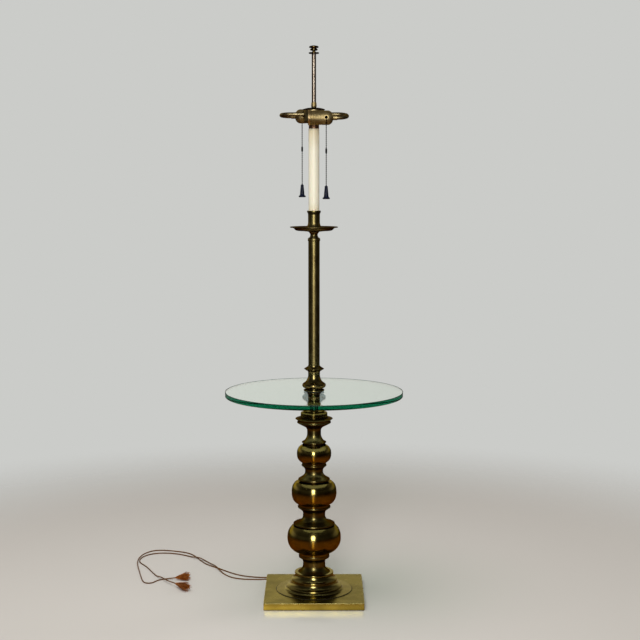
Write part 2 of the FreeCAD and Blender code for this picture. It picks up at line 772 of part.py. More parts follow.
def core_blank():
    start = screw_start + screw_length
    back = start + core_length
    r = screw_bore_r + screw_wall + 0.4
    outline = [(0, start + core_recess), (screw_bore_r - 0.3, start + core_recess),
               (screw_bore_r - 0.3, start), (r, start), (r, back), (0, back)]
    pin = Part.makeCylinder(drum_pin_r, drum_from_mouth + drum_width / 2.0 + 1.5 - back, vec(drum_r, 0, back))
    return turned(outline).fuse(pin)


def screw_blank():
    return tube(screw_bore_r + screw_wall, screw_bore_r, screw_length, screw_start)


def contact_blank():
    return Part.makeCylinder(contact_r, contact_thickness,
                             vec(0, 0, screw_start + screw_length + core_recess - contact_thickness))


def liner_blank():
    inner = screw_bore_r + screw_wall + 0.4 + fit_gap
    outer = socket_r - 2 * socket_wall - 2 * fit_gap
    return tube(outer, inner, shell_length + shell_lap - liner_start, liner_start)


# The chain outlet is a short flared tube that leaves the side of the cap.
def outlet_blank():
    inner_end = socket_r - socket_wall - 1.5
    lip = outlet_reach
    outline = [(outlet_bore_r, inner_end), (outlet_tube_r, inner_end), (outlet_tube_r, lip - 4.0),
               (outlet_tube_r + 0.3, lip - 1.8, outlet_lip_r, lip - 0.7), (outlet_lip_r, lip),
               (outlet_bore_r + 1.6, lip), (outlet_bore_r + 0.2, lip - 1.4, outlet_bore_r, lip - 4.0)]
    tube_shape = turned(outline)
    tube_shape.rotate(vec(0, 0, 0), vec(1, 0, 0), 90)
    return tube_shape.translated(vec(0, 0, drum_from_mouth))


def drum_blank():
    body = tube(drum_r - bead_r - 0.2, drum_pin_r + fit_gap, drum_width, drum_from_mouth - drum_width / 2.0)
    return body.translated(vec(drum_r, 0, 0))


# ---- pull chains ------------------------------------------------------------------------------
# A ball chain is one turned string of beads on a link.
def bead_string(count):
    half_chord = math.sqrt(bead_r ** 2 - link_r ** 2)
    outline = [(0, -bead_r), (bead_r * math.cos(math.pi / 4), -bead_r * math.sin(math.pi / 4), bead_r, 0)]
    for i in range(count):
        middle = i * bead_pitch
        if i > 0:
            outline.append((link_r, middle - half_chord))
            outline.append((bead_r * 0.8, middle - bead_r * 0.6, bead_r, middle))
        if i < count - 1:
            outline.append((bead_r * 0.8, middle + bead_r * 0.6, link_r, middle + half_chord))
    last = (count - 1) * bead_pitch
    outline.append((bead_r * math.cos(math.pi / 4), last + bead_r * math.sin(math.pi / 4), 0, last + bead_r))
    return turned(outline)


def hung(shape, side, low_z):
    x = drum_from_mouth - socket_mouth
    shape = shape.translated(vec(x, -socket_offset - chain_out, low_z))
    if side < 0:
        shape.rotate(vec(0, 0, 0), vec(0, 0, 1), 180)
    return shape


def bead_count(side, counts):
    return counts[0] if side > 0 else counts[1]


def upper_chain_low_z(side):
    top_bead_z = axis_z(side) - bead_r - chain_gap
    return top_bead_z - (bead_count(side, upper_beads) - 1) * bead_pitch


def connector_top_z(side):
    return upper_chain_low_z(side) - bead_r - chain_gap


def lower_chain_low_z(side):
    return connector_top_z(side) - connector_length - bead_count(side, lower_beads) * bead_pitch + bead_r


def chain_lead(side):
    reach = chain_out - 2 * bead_r
    count = 5
    lead = bead_string(count)
    lead.translate(vec(0, 0, reach - (count - 1) * bead_pitch))
    lead.rotate(vec(0, 0, 0), vec(1, 0, 0), 90)
    lead.translate(vec(drum_from_mouth - socket_mouth, -socket_offset, axis_z(side)))
    if side < 0:
        lead.rotate(vec(0, 0, 0), vec(0, 0, 1), 180)
    return lead


def upper_chain(side):
    return hung(bead_string(bead_count(side, upper_beads)), side, upper_chain_low_z(side))


def lower_chain(side):
    count = bead_count(side, lower_beads)
    low = lower_chain_low_z(side)
    beads = bead_string(count)
    string_top = (count - 1) * bead_pitch + bead_r * 0.7
    top = connector_top_z(side) - low
    barrel = turned([(0, string_top), (connector_r - 0.7, string_top), (connector_r, string_top + 1.2),
                     (connector_r, top - 1.2), (connector_r - 0.7, top), (0, top)])
    return hung(beads.fuse(barrel), side, low)


def pull_bell(side):
    top = lower_chain_low_z(side) - bead_r
    r = pull_r
    body = pull_body_r
    length = pull_length
    outline = [(0, 0), (r - 1.9, 0), (r, 1.7, r - 0.5, 3.6), (body + 1.0, 5.2, body, 8.2),
               (body - 0.5, length * 0.46, pull_top_r, length - 4.6),
               (pull_top_r - 0.7, length - 1.1, bead_r, length), (0, length)]
    return hung(turned(outline), side, top - length)


# ---- riser and finial -------------------------------------------------------------------------
def riser_coupling():
    inner = riser_r + fit_gap
    top = coupling_height
    outline = [(0, -coupling_nipple), (coupling_nipple_r, -coupling_nipple), (coupling_nipple_r, 0),
               (coupling_r - 0.8, 0), (coupling_r, top * 0.3, coupling_r - 0.2, top * 0.62),
               (coupling_r - 0.6, top), (inner, top), (inner, riser_seat), (0, riser_seat)]
    return turned(outline, coupling_z)


def riser_tube():
    inner = riser_r - riser_wall
    top = riser_length
    tip = top + disc_thickness + thread_length
    outline = [(inner, 0), (riser_r, 0), (riser_r, top), (thread_r, top), (thread_r, tip - 0.6),
               (thread_r - 0.6, tip), (0, tip), (0, top - 6.0), (inner, top - 6.0)]
    return turned(outline, riser_z)


def shade_disc():
    inner = thread_r + thread_clear
    outline = [(inner, 0), (disc_r - 1.0, 0), (disc_r, disc_thickness / 2, disc_r - 1.0, disc_thickness),
               (inner, disc_thickness)]
    return turned(outline, disc_z)


def finial():
    inner = thread_r + thread_clear
    top = finial_height
    cap = finial_r
    outline = [(inner, 0), (4.6, 0), (4.1, 1.2), (4.1, 3.6), (8.4, 4.4), (9.2, 5.2),
               (9.4, 6.6, 9.2, 8.0), (6.6, 9.4), (6.8, 10.4), (cap - 0.8, 11.2),
               (cap, 12.4), (cap, 13.6), (cap - 2.2, 15.4), (cap * 0.45, top - 0.4, 2.0, top), (0, top),
               (0, 14.6), (inner, 14.6)]
    return turned(outline, finial_z)


# ---- cord -------------------------------------------------------------------------------------
# The route is straight runs joined by tangent arcs. Each arc is as large as its two runs allow.
def route_path(route, label):
    points = [vec(*p) for p in route]
    edges = []
    radii = []
    here = points[0]
    for before, corner, after in zip(points, points[1:], points[2:]):
        run_in = corner - before
        run_out = after - corner
        turn = run_in.getAngle(run_out)
        short = min(run_in.Length, run_out.Length)
        back = 0.45 * short
        radii.append(back / math.tan(turn / 2.0))
        way_in = run_in / run_in.Length
        way_out = run_out / run_out.Length
        arc_in = corner - way_in * back
        arc_out = corner + way_out * back
        bisector = way_out - way_in
        bisector = bisector / bisector.Length
        depth = radii[-1] / math.cos(turn / 2.0) - radii[-1]
        edges.append(Part.LineSegment(here, arc_in).toShape())
        edges.append(Part.Arc(arc_in, corner + bisector * depth, arc_out).toShape())
        here = arc_out
    edges.append(Part.LineSegment(here, points[-1]).toShape())
    print(label, "arc radii", " ".join("%.0f" % r for r in radii), "least %.1f" % min(radii))
    return Part.Wire(edges)


def cord_strand(route, label):
    path = route_path(route, label)
    start = vec(*route[0])
    solid = swept(path, start, vec(*route[1]) - start, strand_r)
    ideal = math.pi * strand_r ** 2 * path.Length
    share = solid.Volume / ideal
    print(label, "length %.1f" % path.Length, "volume over section times length %.4f" % share)
    return solid


# The bare wires fan out from the end of each strand as a cone that rests on its widest edge.
def wire_fan(route, length):
    end = vec(*route[-1])
    way = end - vec(*route[-2])
    return Part.makeCone(strand_r, fan_r, length, end, way)


def cord_ends():
    fans = [wire_fan(strand_a_route, fan_lengths[0]), wire_fan(strand_b_route, fan_lengths[1])]
    return Part.makeCompound(fans)


# ---- all nodes --------------------------------------------------------------------------------
nodes = {
    "felt_pad": felt_pad, "base_weight": base_weight, "base_plate": base_plate,
    "pipe_nuts": pipe_nuts, "pipe_washers": pipe_washers, "threaded_pipe": threaded_pipe,
    "cord_bushing": cord_bushing, "stepped_foot": stepped_foot, "lower_neck": lower_neck,
    "ball_large": ball_large, "middle_neck": middle_neck, "ball_medium": ball_medium,
    "upper_neck": upper_neck, "ball_small": ball_small, "tray_neck": tray_neck,
    "seat_rings": seat_rings, "tray_dish": tray_dish, "glass_seat": glass_seat,
    "glass_washers": glass_washers, "glass_table": glass_table, "glass_clamp": glass_clamp,
    "vase": vase, "pole_cup": pole_cup, "pole_tube": pole_tube, "pole_cap": pole_cap,
    "drip_neck": drip_neck, "drip_plate": drip_plate, "candle_cup": candle_cup,
    "candle_sleeve": candle_sleeve, "cluster_collar": cluster_collar, "cluster_body": cluster_body,
    "cluster_cap": cluster_cap, "arm_right": lambda: arm(1), "arm_left": lambda: arm(-1),
    "socket_cores": lambda: both(core_blank), "screw_shells": lambda: both(screw_blank),
    "centre_contacts": lambda: both(contact_blank), "socket_liners": lambda: both(liner_blank),
    "chain_outlets": lambda: both(outlet_blank), "riser_coupling": riser_coupling,
    "riser_tube": riser_tube, "shade_disc": shade_disc, "finial": finial,
    "cord_strand_a": lambda: cord_strand(strand_a_route, "cord_strand_a"),
    "cord_strand_b": lambda: cord_strand(strand_b_route, "cord_strand_b"),
    "cord_ends": cord_ends,
}
for place, side in (("front", 1), ("back", -1)):
    nodes[place + "_socket_shell"] = lambda side=side: laid(shell_blank(), side)
    nodes[place + "_socket_cap"] = lambda side=side: laid(cap_blank(), side)
    nodes[place + "_switch_drum"] = lambda side=side: laid(drum_blank(), side)
    nodes[place + "_chain_lead"] = lambda side=side: chain_lead(side)
    nodes[place + "_upper_chain"] = lambda side=side: upper_chain(side)
    nodes[place + "_lower_chain"] = lambda side=side: lower_chain(side)
    nodes[place + "_pull_bell"] = lambda side=side: pull_bell(side)

os.makedirs("parts", exist_ok=True)
for name, make in nodes.items():
    shape = make()
    if not shape.isValid():
        print("not valid:", name)
    shape.exportStep("parts/%s.step" % name)
print(len(nodes), "nodes, top at %.1f" % (finial_z + finial_height))
print("socket axis heights %.1f %.1f" % socket_z, "glass top %.1f" % over_washer_z)
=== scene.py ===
import bpy
import bmesh
import math
import random
from mathutils import Matrix, Vector


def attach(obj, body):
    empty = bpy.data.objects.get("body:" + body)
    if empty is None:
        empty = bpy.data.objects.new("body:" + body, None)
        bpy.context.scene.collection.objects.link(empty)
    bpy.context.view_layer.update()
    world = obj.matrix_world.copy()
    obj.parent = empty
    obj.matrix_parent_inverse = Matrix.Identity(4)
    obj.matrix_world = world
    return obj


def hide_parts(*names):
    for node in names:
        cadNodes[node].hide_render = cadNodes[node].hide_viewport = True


# Floor lamp with a round glass table: the looks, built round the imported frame, in metres.
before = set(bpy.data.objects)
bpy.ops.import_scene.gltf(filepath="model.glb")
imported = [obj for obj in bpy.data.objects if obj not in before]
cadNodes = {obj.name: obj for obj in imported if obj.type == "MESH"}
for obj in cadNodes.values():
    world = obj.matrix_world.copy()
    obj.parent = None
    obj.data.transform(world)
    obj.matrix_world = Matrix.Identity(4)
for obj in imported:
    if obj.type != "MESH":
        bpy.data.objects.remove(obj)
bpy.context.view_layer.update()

# camera, fitted to the photograph: the corners of the base, the rim of the glass and the column
cameraValues = {"place": (0.0101, -3.4004, 1.0790), "pitchDown": 6.010, "turnRight": 0.087, "lens": 75.44,
                "sensor": 36.0, "farthest": 60.0}

cameraData = bpy.data.cameras.new("photoCamera")
cameraData.lens = cameraValues["lens"]
cameraData.sensor_width = cameraValues["sensor"]
cameraData.clip_end = cameraValues["farthest"]
photoCamera = bpy.data.objects.new("photoCamera", cameraData)
photoCamera.location = cameraValues["place"]
photoCamera.rotation_euler = (math.radians(90.0 - cameraValues["pitchDown"]), 0.0,
                              -math.radians(cameraValues["turnRight"]))
bpy.context.scene.collection.objects.link(photoCamera)
bpy.context.scene.camera = photoCamera
bpy.context.scene.view_settings.view_transform = "Standard"  # the photograph's hard contrast


def colour(hexText):
    # sRGB hex to the linear values that a shader takes
    channels = [int(hexText[i:i + 2], 16) / 255.0 for i in (1, 3, 5)]
    linear = [c / 12.92 if c <= 0.04045 else ((c + 0.055) / 1.055) ** 2.4 for c in channels]
    return (*linear, 1.0)


def addNode(tree, kind, inputs=None, **settings):
    node = tree.nodes.new(kind)
    for name, value in settings.items():
        setattr(node, name, value)
    for name, value in (inputs or {}).items():
        if isinstance(value, bpy.types.NodeSocket):
            tree.links.new(value, node.inputs[name])
        else:
            node.inputs[name].default_value = value
    return node


def newMaterial(name):
    material = bpy.data.materials.new(name)
    material.use_nodes = True
    tree = material.node_tree
    tree.nodes.clear()
    return material, tree


def perMetre(millimetres):
    # a pattern's scale, from the real size of one of its features
    return 1000.0 / millimetres


def addPiece(name, mesh, material, body):
    piece = bpy.data.objects.new(name, mesh)
    bpy.context.scene.collection.objects.link(piece)
    mesh.materials.append(material)
    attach(piece, body)
    return piece


# Two slim strands leave the back of the base, run round in a loose loop and end in bare wires.
# A route's points are in millimetres; the last two also say which way the bare wires point.
strandValues = {"thickness": 0.0032, "sides": 4, "steps": 8, "lengthA": 1.045, "lengthB": 0.9695}
strandRoutes = {
    "strandA": [
        (1.9, 131.0, 7.6), (1.9, 143.0, 7.6), (-2.0, 156.0, 4.4), (-14.0, 165.5, 1.9),
        (-32.0, 169.0, 1.65), (-52.0, 167.5, 1.65), (-78.0, 161.5, 1.65), (-108.0, 153.0, 1.65),
        (-140.0, 150.5, 1.65), (-172.0, 156.5, 1.65), (-201.0, 169.5, 1.65), (-226.0, 191.0, 1.65),
        (-250.0, 218.0, 1.65), (-271.0, 243.0, 1.65), (-291.0, 262.0, 1.65), (-308.0, 284.0, 1.65),
        (-320.0, 309.0, 1.65), (-331.0, 332.0, 1.65), (-341.0, 355.0, 1.65), (-356.0, 381.0, 1.65),
        (-379.0, 400.0, 1.65), (-408.0, 411.0, 1.65), (-438.0, 421.0, 1.65), (-467.0, 418.0, 1.65),
        (-488.0, 394.0, 1.65), (-499.0, 360.0, 1.65), (-502.0, 325.0, 1.65), (-499.0, 288.0, 1.65),
        (-492.0, 249.0, 1.65), (-483.0, 210.0, 1.65), (-475.0, 172.0, 1.65), (-467.0, 137.0, 1.65),
        (-460.0, 113.0, 1.65), (-449.0, 98.0, 1.65), (-434.0, 102.0, 1.65), (-427.0, 118.0, 1.65),
        (-416.0, 133.0, 1.65), (-397.0, 139.5, 1.85), (-375.0, 135.5, 5.8)],
    "strandB": [
        (-1.9, 131.0, 7.6), (-1.9, 141.0, 7.6), (-5.5, 151.0, 4.4), (-15.0, 157.5, 2.0),
        (-30.0, 159.5, 1.65), (-49.0, 158.0, 1.65), (-74.0, 152.0, 1.65), (-104.0, 141.5, 1.65),
        (-136.0, 134.0, 1.65), (-168.0, 133.0, 1.65), (-200.0, 137.0, 1.65), (-226.0, 152.0, 1.65),
        (-246.0, 180.0, 1.65), (-260.0, 212.0, 2.2), (-275.0, 246.0, 6.6), (-290.0, 279.0, 2.2),
        (-307.0, 307.0, 2.2), (-327.0, 328.0, 6.6), (-349.0, 347.0, 2.2), (-371.0, 366.0, 1.65),
        (-396.0, 382.0, 1.65), (-424.0, 391.0, 1.65), (-453.0, 390.0, 1.65), (-477.0, 376.0, 1.65),
        (-492.0, 352.0, 1.65), (-497.5, 324.0, 1.65), (-494.0, 298.0, 1.65), (-480.0, 273.0, 1.65),
        (-465.0, 246.0, 1.65), (-453.0, 217.0, 1.65), (-441.0, 189.0, 1.65), (-430.0, 163.0, 2.2),
        (-413.0, 138.0, 6.6), (-392.0, 101.0, 7.1), (-368.0, 72.5, 9.4)],
}

jacketLook = {"dark": "#3c2204", "pale": "#5e3a08", "shadeMm": 30.0, "wire": "#7a4c12", "wireShare": 0.45,
              "twists": (115.0, 3.0, 1.0), "twistBend": 0.6, "twistDepth": 0.15, "twistRise": 0.0003}


def clearLampCord(name, look):
    # lamp wire in an amber PVC jacket, extruded: glossy, with the twist of copper showing through
    material, tree = newMaterial(name)
    along = addNode(tree, "ShaderNodeTexCoord")
    # the map's first side runs along the strand and its second round it: a twist every 9 mm
    turned = addNode(tree, "ShaderNodeMapping", {"Vector": along.outputs["UV"], "Scale": look["twists"]})
    twist = addNode(tree, "ShaderNodeTexWave", {"Vector": turned.outputs["Vector"], "Scale": 1.0,
                    "Distortion": look["twistBend"]}, bands_direction="DIAGONAL")
    shade = addNode(tree, "ShaderNodeTexNoise", {"Vector": along.outputs["Object"],
                    "Scale": perMetre(look["shadeMm"])})
    jacket = addNode(tree, "ShaderNodeMix", {0: shade.outputs["Fac"], 6: colour(look["dark"]),
                     7: colour(look["pale"])}, data_type="RGBA")
    wire = addNode(tree, "ShaderNodeMath", {0: twist.outputs["Fac"], 1: look["wireShare"]},
                   operation="MULTIPLY")
    seen = addNode(tree, "ShaderNodeMix", {0: wire.outputs[0], 6: jacket.outputs[2],
                   7: colour(look["wire"])}, data_type="RGBA")
    bump = addNode(tree, "ShaderNodeBump", {"Height": twist.outputs["Fac"], "Strength": look["twistDepth"],
                   "Distance": look["twistRise"]})
    plastic = addNode(tree, "ShaderNodeBsdfPrincipled", {"Base Color": seen.outputs[2], "Roughness": 0.28,
                      "IOR": 1.53, "Specular IOR Level": 0.15, "Normal": bump.outputs["Normal"]})
    addNode(tree, "ShaderNodeOutputMaterial", {"Surface": plastic.outputs[0]})
    return material


copperLook = {"dark": "#8e4a18", "bright": "#c88038", "share": (0.32, 0.68), "tarnishMm": 9.0}


def frayedCopper(name, look):
    # bare stranded copper, oxidised to orange brown
    material, tree = newMaterial(name)
    place = addNode(tree, "ShaderNodeTexCoord")
    tarnish = addNode(tree, "ShaderNodeTexNoise", {"Vector": place.outputs["Object"],
                      "Scale": perMetre(look["tarnishMm"]), "Detail": 3.0})
    tone = addNode(tree, "ShaderNodeValToRGB", {"Fac": tarnish.outputs["Fac"]})
    for stop, at, shade in zip(tone.color_ramp.elements, look["share"], (look["dark"], look["bright"])):
        stop.position = at
        stop.color = colour(shade)
    metal = addNode(tree, "ShaderNodeBsdfPrincipled", {"Base Color": tone.outputs["Color"], "Metallic": 0.6,
                    "Roughness": 0.5})
    addNode(tree, "ShaderNodeOutputMaterial", {"Surface": metal.outputs[0]})
    return material


cordJacket = clearLampCord("amberLampCord", jacketLook)
copperWires = frayedCopper("frayedCopper", copperLook)

# The bare wires fan out from the end of a strand, inside the CAD cone, and sag to the floor.
fanValues = {"wires": 110, "wireThickness": 0.0010, "points": 5, "root": 0.0011, "spread": 0.0126,
             "clearance": 0.0014, "flare": 0.85, "shortest": 0.72, "sunk": 0.0015, "kink": 0.0012,
             "bends": (7.0, 5.0), "lowest": 0.0006,
             "fanA": {"length": 0.042, "seed": 61}, "fanB": {"length": 0.061, "seed": 80}}


def wireFan(name, route, values):
    chance = random.Random(values["seed"])
    before, start = (Vector(place) / 1000.0 for place in route[-2:])
    way = (start - before).normalized()
    side = way.cross(Vector((0.0, 0.0, 1.0))).normalized()
    up = side.cross(way).normalized()
    last = fanValues["points"] - 1
    curve = bpy.data.curves.new(name, "CURVE")
    curve.dimensions = "3D"
    curve.bevel_depth = fanValues["wireThickness"] / 2.0
    curve.bevel_resolution = 1
    curve.resolution_u = 3
    curve.use_fill_caps = True
    for i in range(fanValues["wires"]):
        turn = chance.uniform(0.0, 2.0 * math.pi)
        out = math.sqrt(chance.uniform(0.0, 1.0))
        reach = values["length"] * chance.uniform(fanValues["shortest"], 1.0)
        kink = chance.uniform(-fanValues["kink"], fanValues["kink"])
        outward = Vector((math.cos(turn), math.sin(turn)))
        spline = curve.splines.new("NURBS")
        spline.points.add(last)
        for k in range(fanValues["points"]):
            share = k / last
            opened = (fanValues["spread"] - fanValues["clearance"]) * out * share ** fanValues["flare"]
            width = fanValues["root"] * out + opened
            across = outward.x * width + kink * math.sin(fanValues["bends"][0] * share)
            above = outward.y * width + kink * math.cos(fanValues["bends"][1] * share) * share
            point = start + way * (reach * share - fanValues["sunk"]) + side * across
            point += up * above
            point.z = max(point.z, fanValues["lowest"])
            spline.points[k].co = (*point, 1.0)
        spline.order_u = 3
        spline.use_endpoint_u = True
    shaped = bpy.data.objects.new(name + "Shape", curve)
    bpy.context.scene.collection.objects.link(shaped)
    bpy.context.view_layer.update()
    mesh = bpy.data.meshes.new_from_object(shaped.evaluated_get(bpy.context.evaluated_depsgraph_get()))
    bpy.data.objects.remove(shaped)
    mesh.materials.clear()
    mesh.shade_smooth()
    return addPiece(name, mesh, copperWires, "stand")


def lampStrand(name, route, cadNode):
    curve = bpy.data.curves.new(name, "CURVE")
    curve.dimensions = "3D"
    curve.bevel_depth = strandValues["thickness"] / 2.0
    curve.bevel_resolution = strandValues["sides"]
    curve.resolution_u = strandValues["steps"]
    curve.use_fill_caps = True
    spline = curve.splines.new("NURBS")
    spline.points.add(len(route) - 1)
    for point, place in zip(spline.points, route):
        point.co = (*(Vector(place) / 1000.0), 1.0)
    spline.order_u = 3
    spline.use_endpoint_u = True
    strand = bpy.data.objects.new(name, curve)
    bpy.context.scene.collection.objects.link(strand)
    curve.materials.append(cordJacket)
    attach(strand, "stand")
    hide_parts(cadNode)


wireFanA = wireFan("wireFanA", strandRoutes["strandA"], fanValues["fanA"])
wireFanB = wireFan("wireFanB", strandRoutes["strandB"], fanValues["fanB"])
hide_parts("cord_ends")
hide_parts("cord_ends")
lampStrand("lampStrandA", strandRoutes["strandA"], "cord_strand_a")
lampStrand("lampStrandB", strandRoutes["strandB"], "cord_strand_b")
print("cords: two strands with fanned wires")

# The layers of aged brass come in over these ranges of their patterns.
layerValues = {"clouds": (0.35, 0.65), "specks": (0.62, 0.74), "under": (0.06, -0.55),
               "grooves": (0.9, 0.35), "grooveRays": 6, "smears": (0.3, 0.7), "smearSize": 0.4,
               "speckDulls": 0.3, "grainRise": 0.0002, "dentRise": 0.002, "lacquerDull": 0.14}


def agedBrass(name, look):
    # turned, drawn or pressed brass, aged to olive brown: bright where it is rubbed, darker in the
    # grooves, with a soft bloom over the large curves and a painted reflection: a redder tone underneath
    material, tree = newMaterial(name)
    place = addNode(tree, "ShaderNodeTexCoord")
    clouds = addNode(tree, "ShaderNodeTexNoise", {"Vector": place.outputs["Object"],
                     "Scale": perMetre(look["cloudMm"]), "Detail": 4.0, "Roughness": 0.6})
    cloudShare = addNode(tree, "ShaderNodeMapRange", {"Value": clouds.outputs["Fac"],
                         "From Min": layerValues["clouds"][0], "From Max": layerValues["clouds"][1]})
    body = addNode(tree, "ShaderNodeMix", {0: cloudShare.outputs["Result"], 6: colour(look["metal"]),
                   7: colour(look["bloom"])}, data_type="RGBA")
    specks = addNode(tree, "ShaderNodeTexNoise", {"Vector": place.outputs["Object"],
                     "Scale": perMetre(look["speckMm"]), "Detail": 2.0})
    speckShare = addNode(tree, "ShaderNodeMapRange", {"Value": specks.outputs["Fac"],
                         "From Min": layerValues["specks"][0], "From Max": layerValues["specks"][1],
                         "To Max": look["speckDepth"]})
    spotted = addNode(tree, "ShaderNodeMix", {0: speckShare.outputs["Result"], 6: body.outputs[2],
                      7: colour(look["tarnish"])}, data_type="RGBA")
    # painted reflection: faces that look down are tinted redder, standing in for the warm floor they mirror
    facing = addNode(tree, "ShaderNodeSeparateXYZ", {"Vector": place.outputs["Normal"]})
    underShare = addNode(tree, "ShaderNodeMapRange", {"Value": facing.outputs["Z"],
                         "From Min": layerValues["under"][0], "From Max": layerValues["under"][1],
                         "To Max": look["underDepth"]})
    underReflected = addNode(tree, "ShaderNodeMix", {0: underShare.outputs["Result"], 6: spotted.outputs[2],
                     7: colour(look["under"])}, data_type="RGBA")
    groove = addNode(tree, "ShaderNodeAmbientOcclusion", {"Distance": look["grooveMm"] / 1000.0},
                     samples=layerValues["grooveRays"])
    grooveShare = addNode(tree, "ShaderNodeMapRange", {"Value": groove.outputs["AO"],
                          "From Min": layerValues["grooves"][0], "From Max": layerValues["grooves"][1],
                          "To Max": look["grooveDepth"]})
    darkenedTone = addNode(tree, "ShaderNodeMix", {0: grooveShare.outputs["Result"], 6: underReflected.outputs[2],
                   7: colour(look["tarnish"])}, data_type="RGBA")
    smears = addNode(tree, "ShaderNodeTexNoise", {"Vector": place.outputs["Object"],
                     "Scale": perMetre(look["cloudMm"] * layerValues["smearSize"]), "Detail": 5.0})
    polish = addNode(tree, "ShaderNodeMapRange", {"Value": smears.outputs["Fac"],
                     "From Min": layerValues["smears"][0], "From Max": layerValues["smears"][1],
                     "To Min": look["polish"][0], "To Max": look["polish"][1]})
    dulled = addNode(tree, "ShaderNodeMath", {0: speckShare.outputs["Result"],
                     1: layerValues["speckDulls"], 2: polish.outputs["Result"]}, operation="MULTIPLY_ADD")
    hairline = addNode(tree, "ShaderNodeMapping", {"Vector": place.outputs["Object"],
                       "Scale": look["grain"]})
    grain = addNode(tree, "ShaderNodeTexNoise", {"Vector": hairline.outputs["Vector"], "Scale": 1.0,
                    "Detail": 3.0})
    grainBump = addNode(tree, "ShaderNodeBump", {"Height": grain.outputs["Fac"],
                        "Strength": look["grainDepth"], "Distance": layerValues["grainRise"]})
    waves = addNode(tree, "ShaderNodeBump", {"Height": clouds.outputs["Fac"], "Strength": look["dents"],
                    "Distance": layerValues["dentRise"], "Normal": grainBump.outputs["Normal"]})
    metal = addNode(tree, "ShaderNodeBsdfPrincipled", {"Base Color": darkenedTone.outputs[2], "Metallic": 1.0,
                    "Roughness": dulled.outputs[0], "Anisotropic": look["turned"],
                    "Anisotropic Rotation": 0.25, "Specular Tint": colour(look["edge"]),
                    "Coat Weight": look["lacquer"], "Coat Roughness": layerValues["lacquerDull"],
                    "Normal": waves.outputs["Normal"]})
    if look["turned"] > 0.0:
        # the lathe's marks run round the axis and draw each highlight out across them
        around = addNode(tree, "ShaderNodeTangent", direction_type="RADIAL", axis="Z")
        tree.links.new(around.outputs["Tangent"], metal.inputs["Tangent"])
    addNode(tree, "ShaderNodeOutputMaterial", {"Surface": metal.outputs[0]})
    return material


# the balls are turned, polished and lacquered; each other brass says only where it differs
brassLook = {"metal": "#96864a", "bloom": "#7b6c38", "tarnish": "#1a1209", "under": "#7c4e1c",
             "edge": "#bcae80", "underDepth": 0.5, "cloudMm": 45.0, "speckMm": 1.6, "speckDepth": 0.15,
             "grooveMm": 7.0, "grooveDepth": 0.9, "polish": (0.14, 0.20), "grain": (60.0, 60.0, 1400.0),
             "grainDepth": 0.004, "dents": 0.03, "turned": 0.0, "lacquer": 0.0}
turnedBrass = agedBrass("agedTurnedBrass", {**brassLook, "turned": 0.75, "lacquer": 0.08})
# the column's plain tube, its cap, the candle's cup and the drip plate are drawn, browner and duller
drawnBrass = agedBrass("agedDrawnBrass", {**brassLook, "metal": "#8d8050", "bloom": "#75663e",
                       "under": "#4a2f1c", "edge": "#8a744c", "cloudMm": 30.0, "polish": (0.33, 0.41)})
# the vase and the turnings beside it are nearly as polished as the balls, but darker
vaseBrass = agedBrass("agedVaseBrass", {**brassLook, "metal": "#8d8050", "bloom": "#6e5f36",
                      "under": "#4a2f1c", "edge": "#75653e", "cloudMm": 30.0, "polish": (0.22, 0.30),
                      "dents": 0.015})
# the rings under the balls are darkened as painted shade, where the balls above keep the light off them
shadedRingBrass = agedBrass("shadedRingBrass", {**brassLook, "metal": "#4e4222", "bloom": "#37290f",
                           "edge": "#4a3c22", "polish": (0.30, 0.40), "turned": 0.75})
# the necks are turned from the same bar; their darker brass is painted shade, and their painted reflection
# underneath is less red
shadedNeckBrass = agedBrass("shadedAgedNeckBrass", {**brassLook, "metal": "#7a6e42", "bloom": "#645a34",
                      "under": "#4e3a1c", "edge": "#8c7e56", "polish": (0.27, 0.35), "turned": 0.3})
# the base is pressed from sheet and rubbed brighter at its sides
sheetBrass = agedBrass("agedSheetBrass", {**brassLook, "metal": "#9a8a42", "bloom": "#7f7134",
                       "edge": "#f0eccb", "underDepth": 0.0, "polish": (0.24, 0.34), "cloudMm": 70.0,
                       "grooveMm": 11.0, "grainDepth": 0.0, "dents": 0.006})
# the foot is turned, but lies as flat as the sheet and takes the same pale shine
footBrass = agedBrass("agedFootBrass", {**brassLook, "metal": "#948850", "bloom": "#7a6e40",
                      "edge": "#e8e2c4", "polish": (0.17, 0.24), "turned": 0.4, "dents": 0.015})
# the cluster's casting and its arms are duller than the stamped sockets beside them
clusterLook = {**brassLook, "cloudMm": 14.0, "dents": 0.0, "speckMm": 1.2, "speckDepth": 0.05,
               "grain": (900.0, 60.0, 60.0)}
clusterBrass = agedBrass("agedCastBrass", {**clusterLook, "metal": "#a0916a", "bloom": "#847654",
                         "edge": "#a89468", "under": "#4c3a20", "polish": (0.38, 0.46)})
stampedBrass = agedBrass("agedStampedBrass", {**clusterLook, "metal": "#d0bc88", "bloom": "#b09a68",
                         "edge": "#c8b480", "under": "#5e4824", "polish": (0.50, 0.58)})
# the rolled lips at the sockets' mouths are a pale bright brass, a painted highlight for the shine they
# catch
lipHighlightBrass = agedBrass("lipHighlightBrass", {**brassLook, "metal": "#ecd09c", "bloom": "#d8b680",
                        "edge": "#ecd8ac", "cloudMm": 14.0, "dents": 0.0, "speckDepth": 0.03,
                        "under": "#a47c44", "grooveDepth": 0.3, "polish": (0.40, 0.48)})
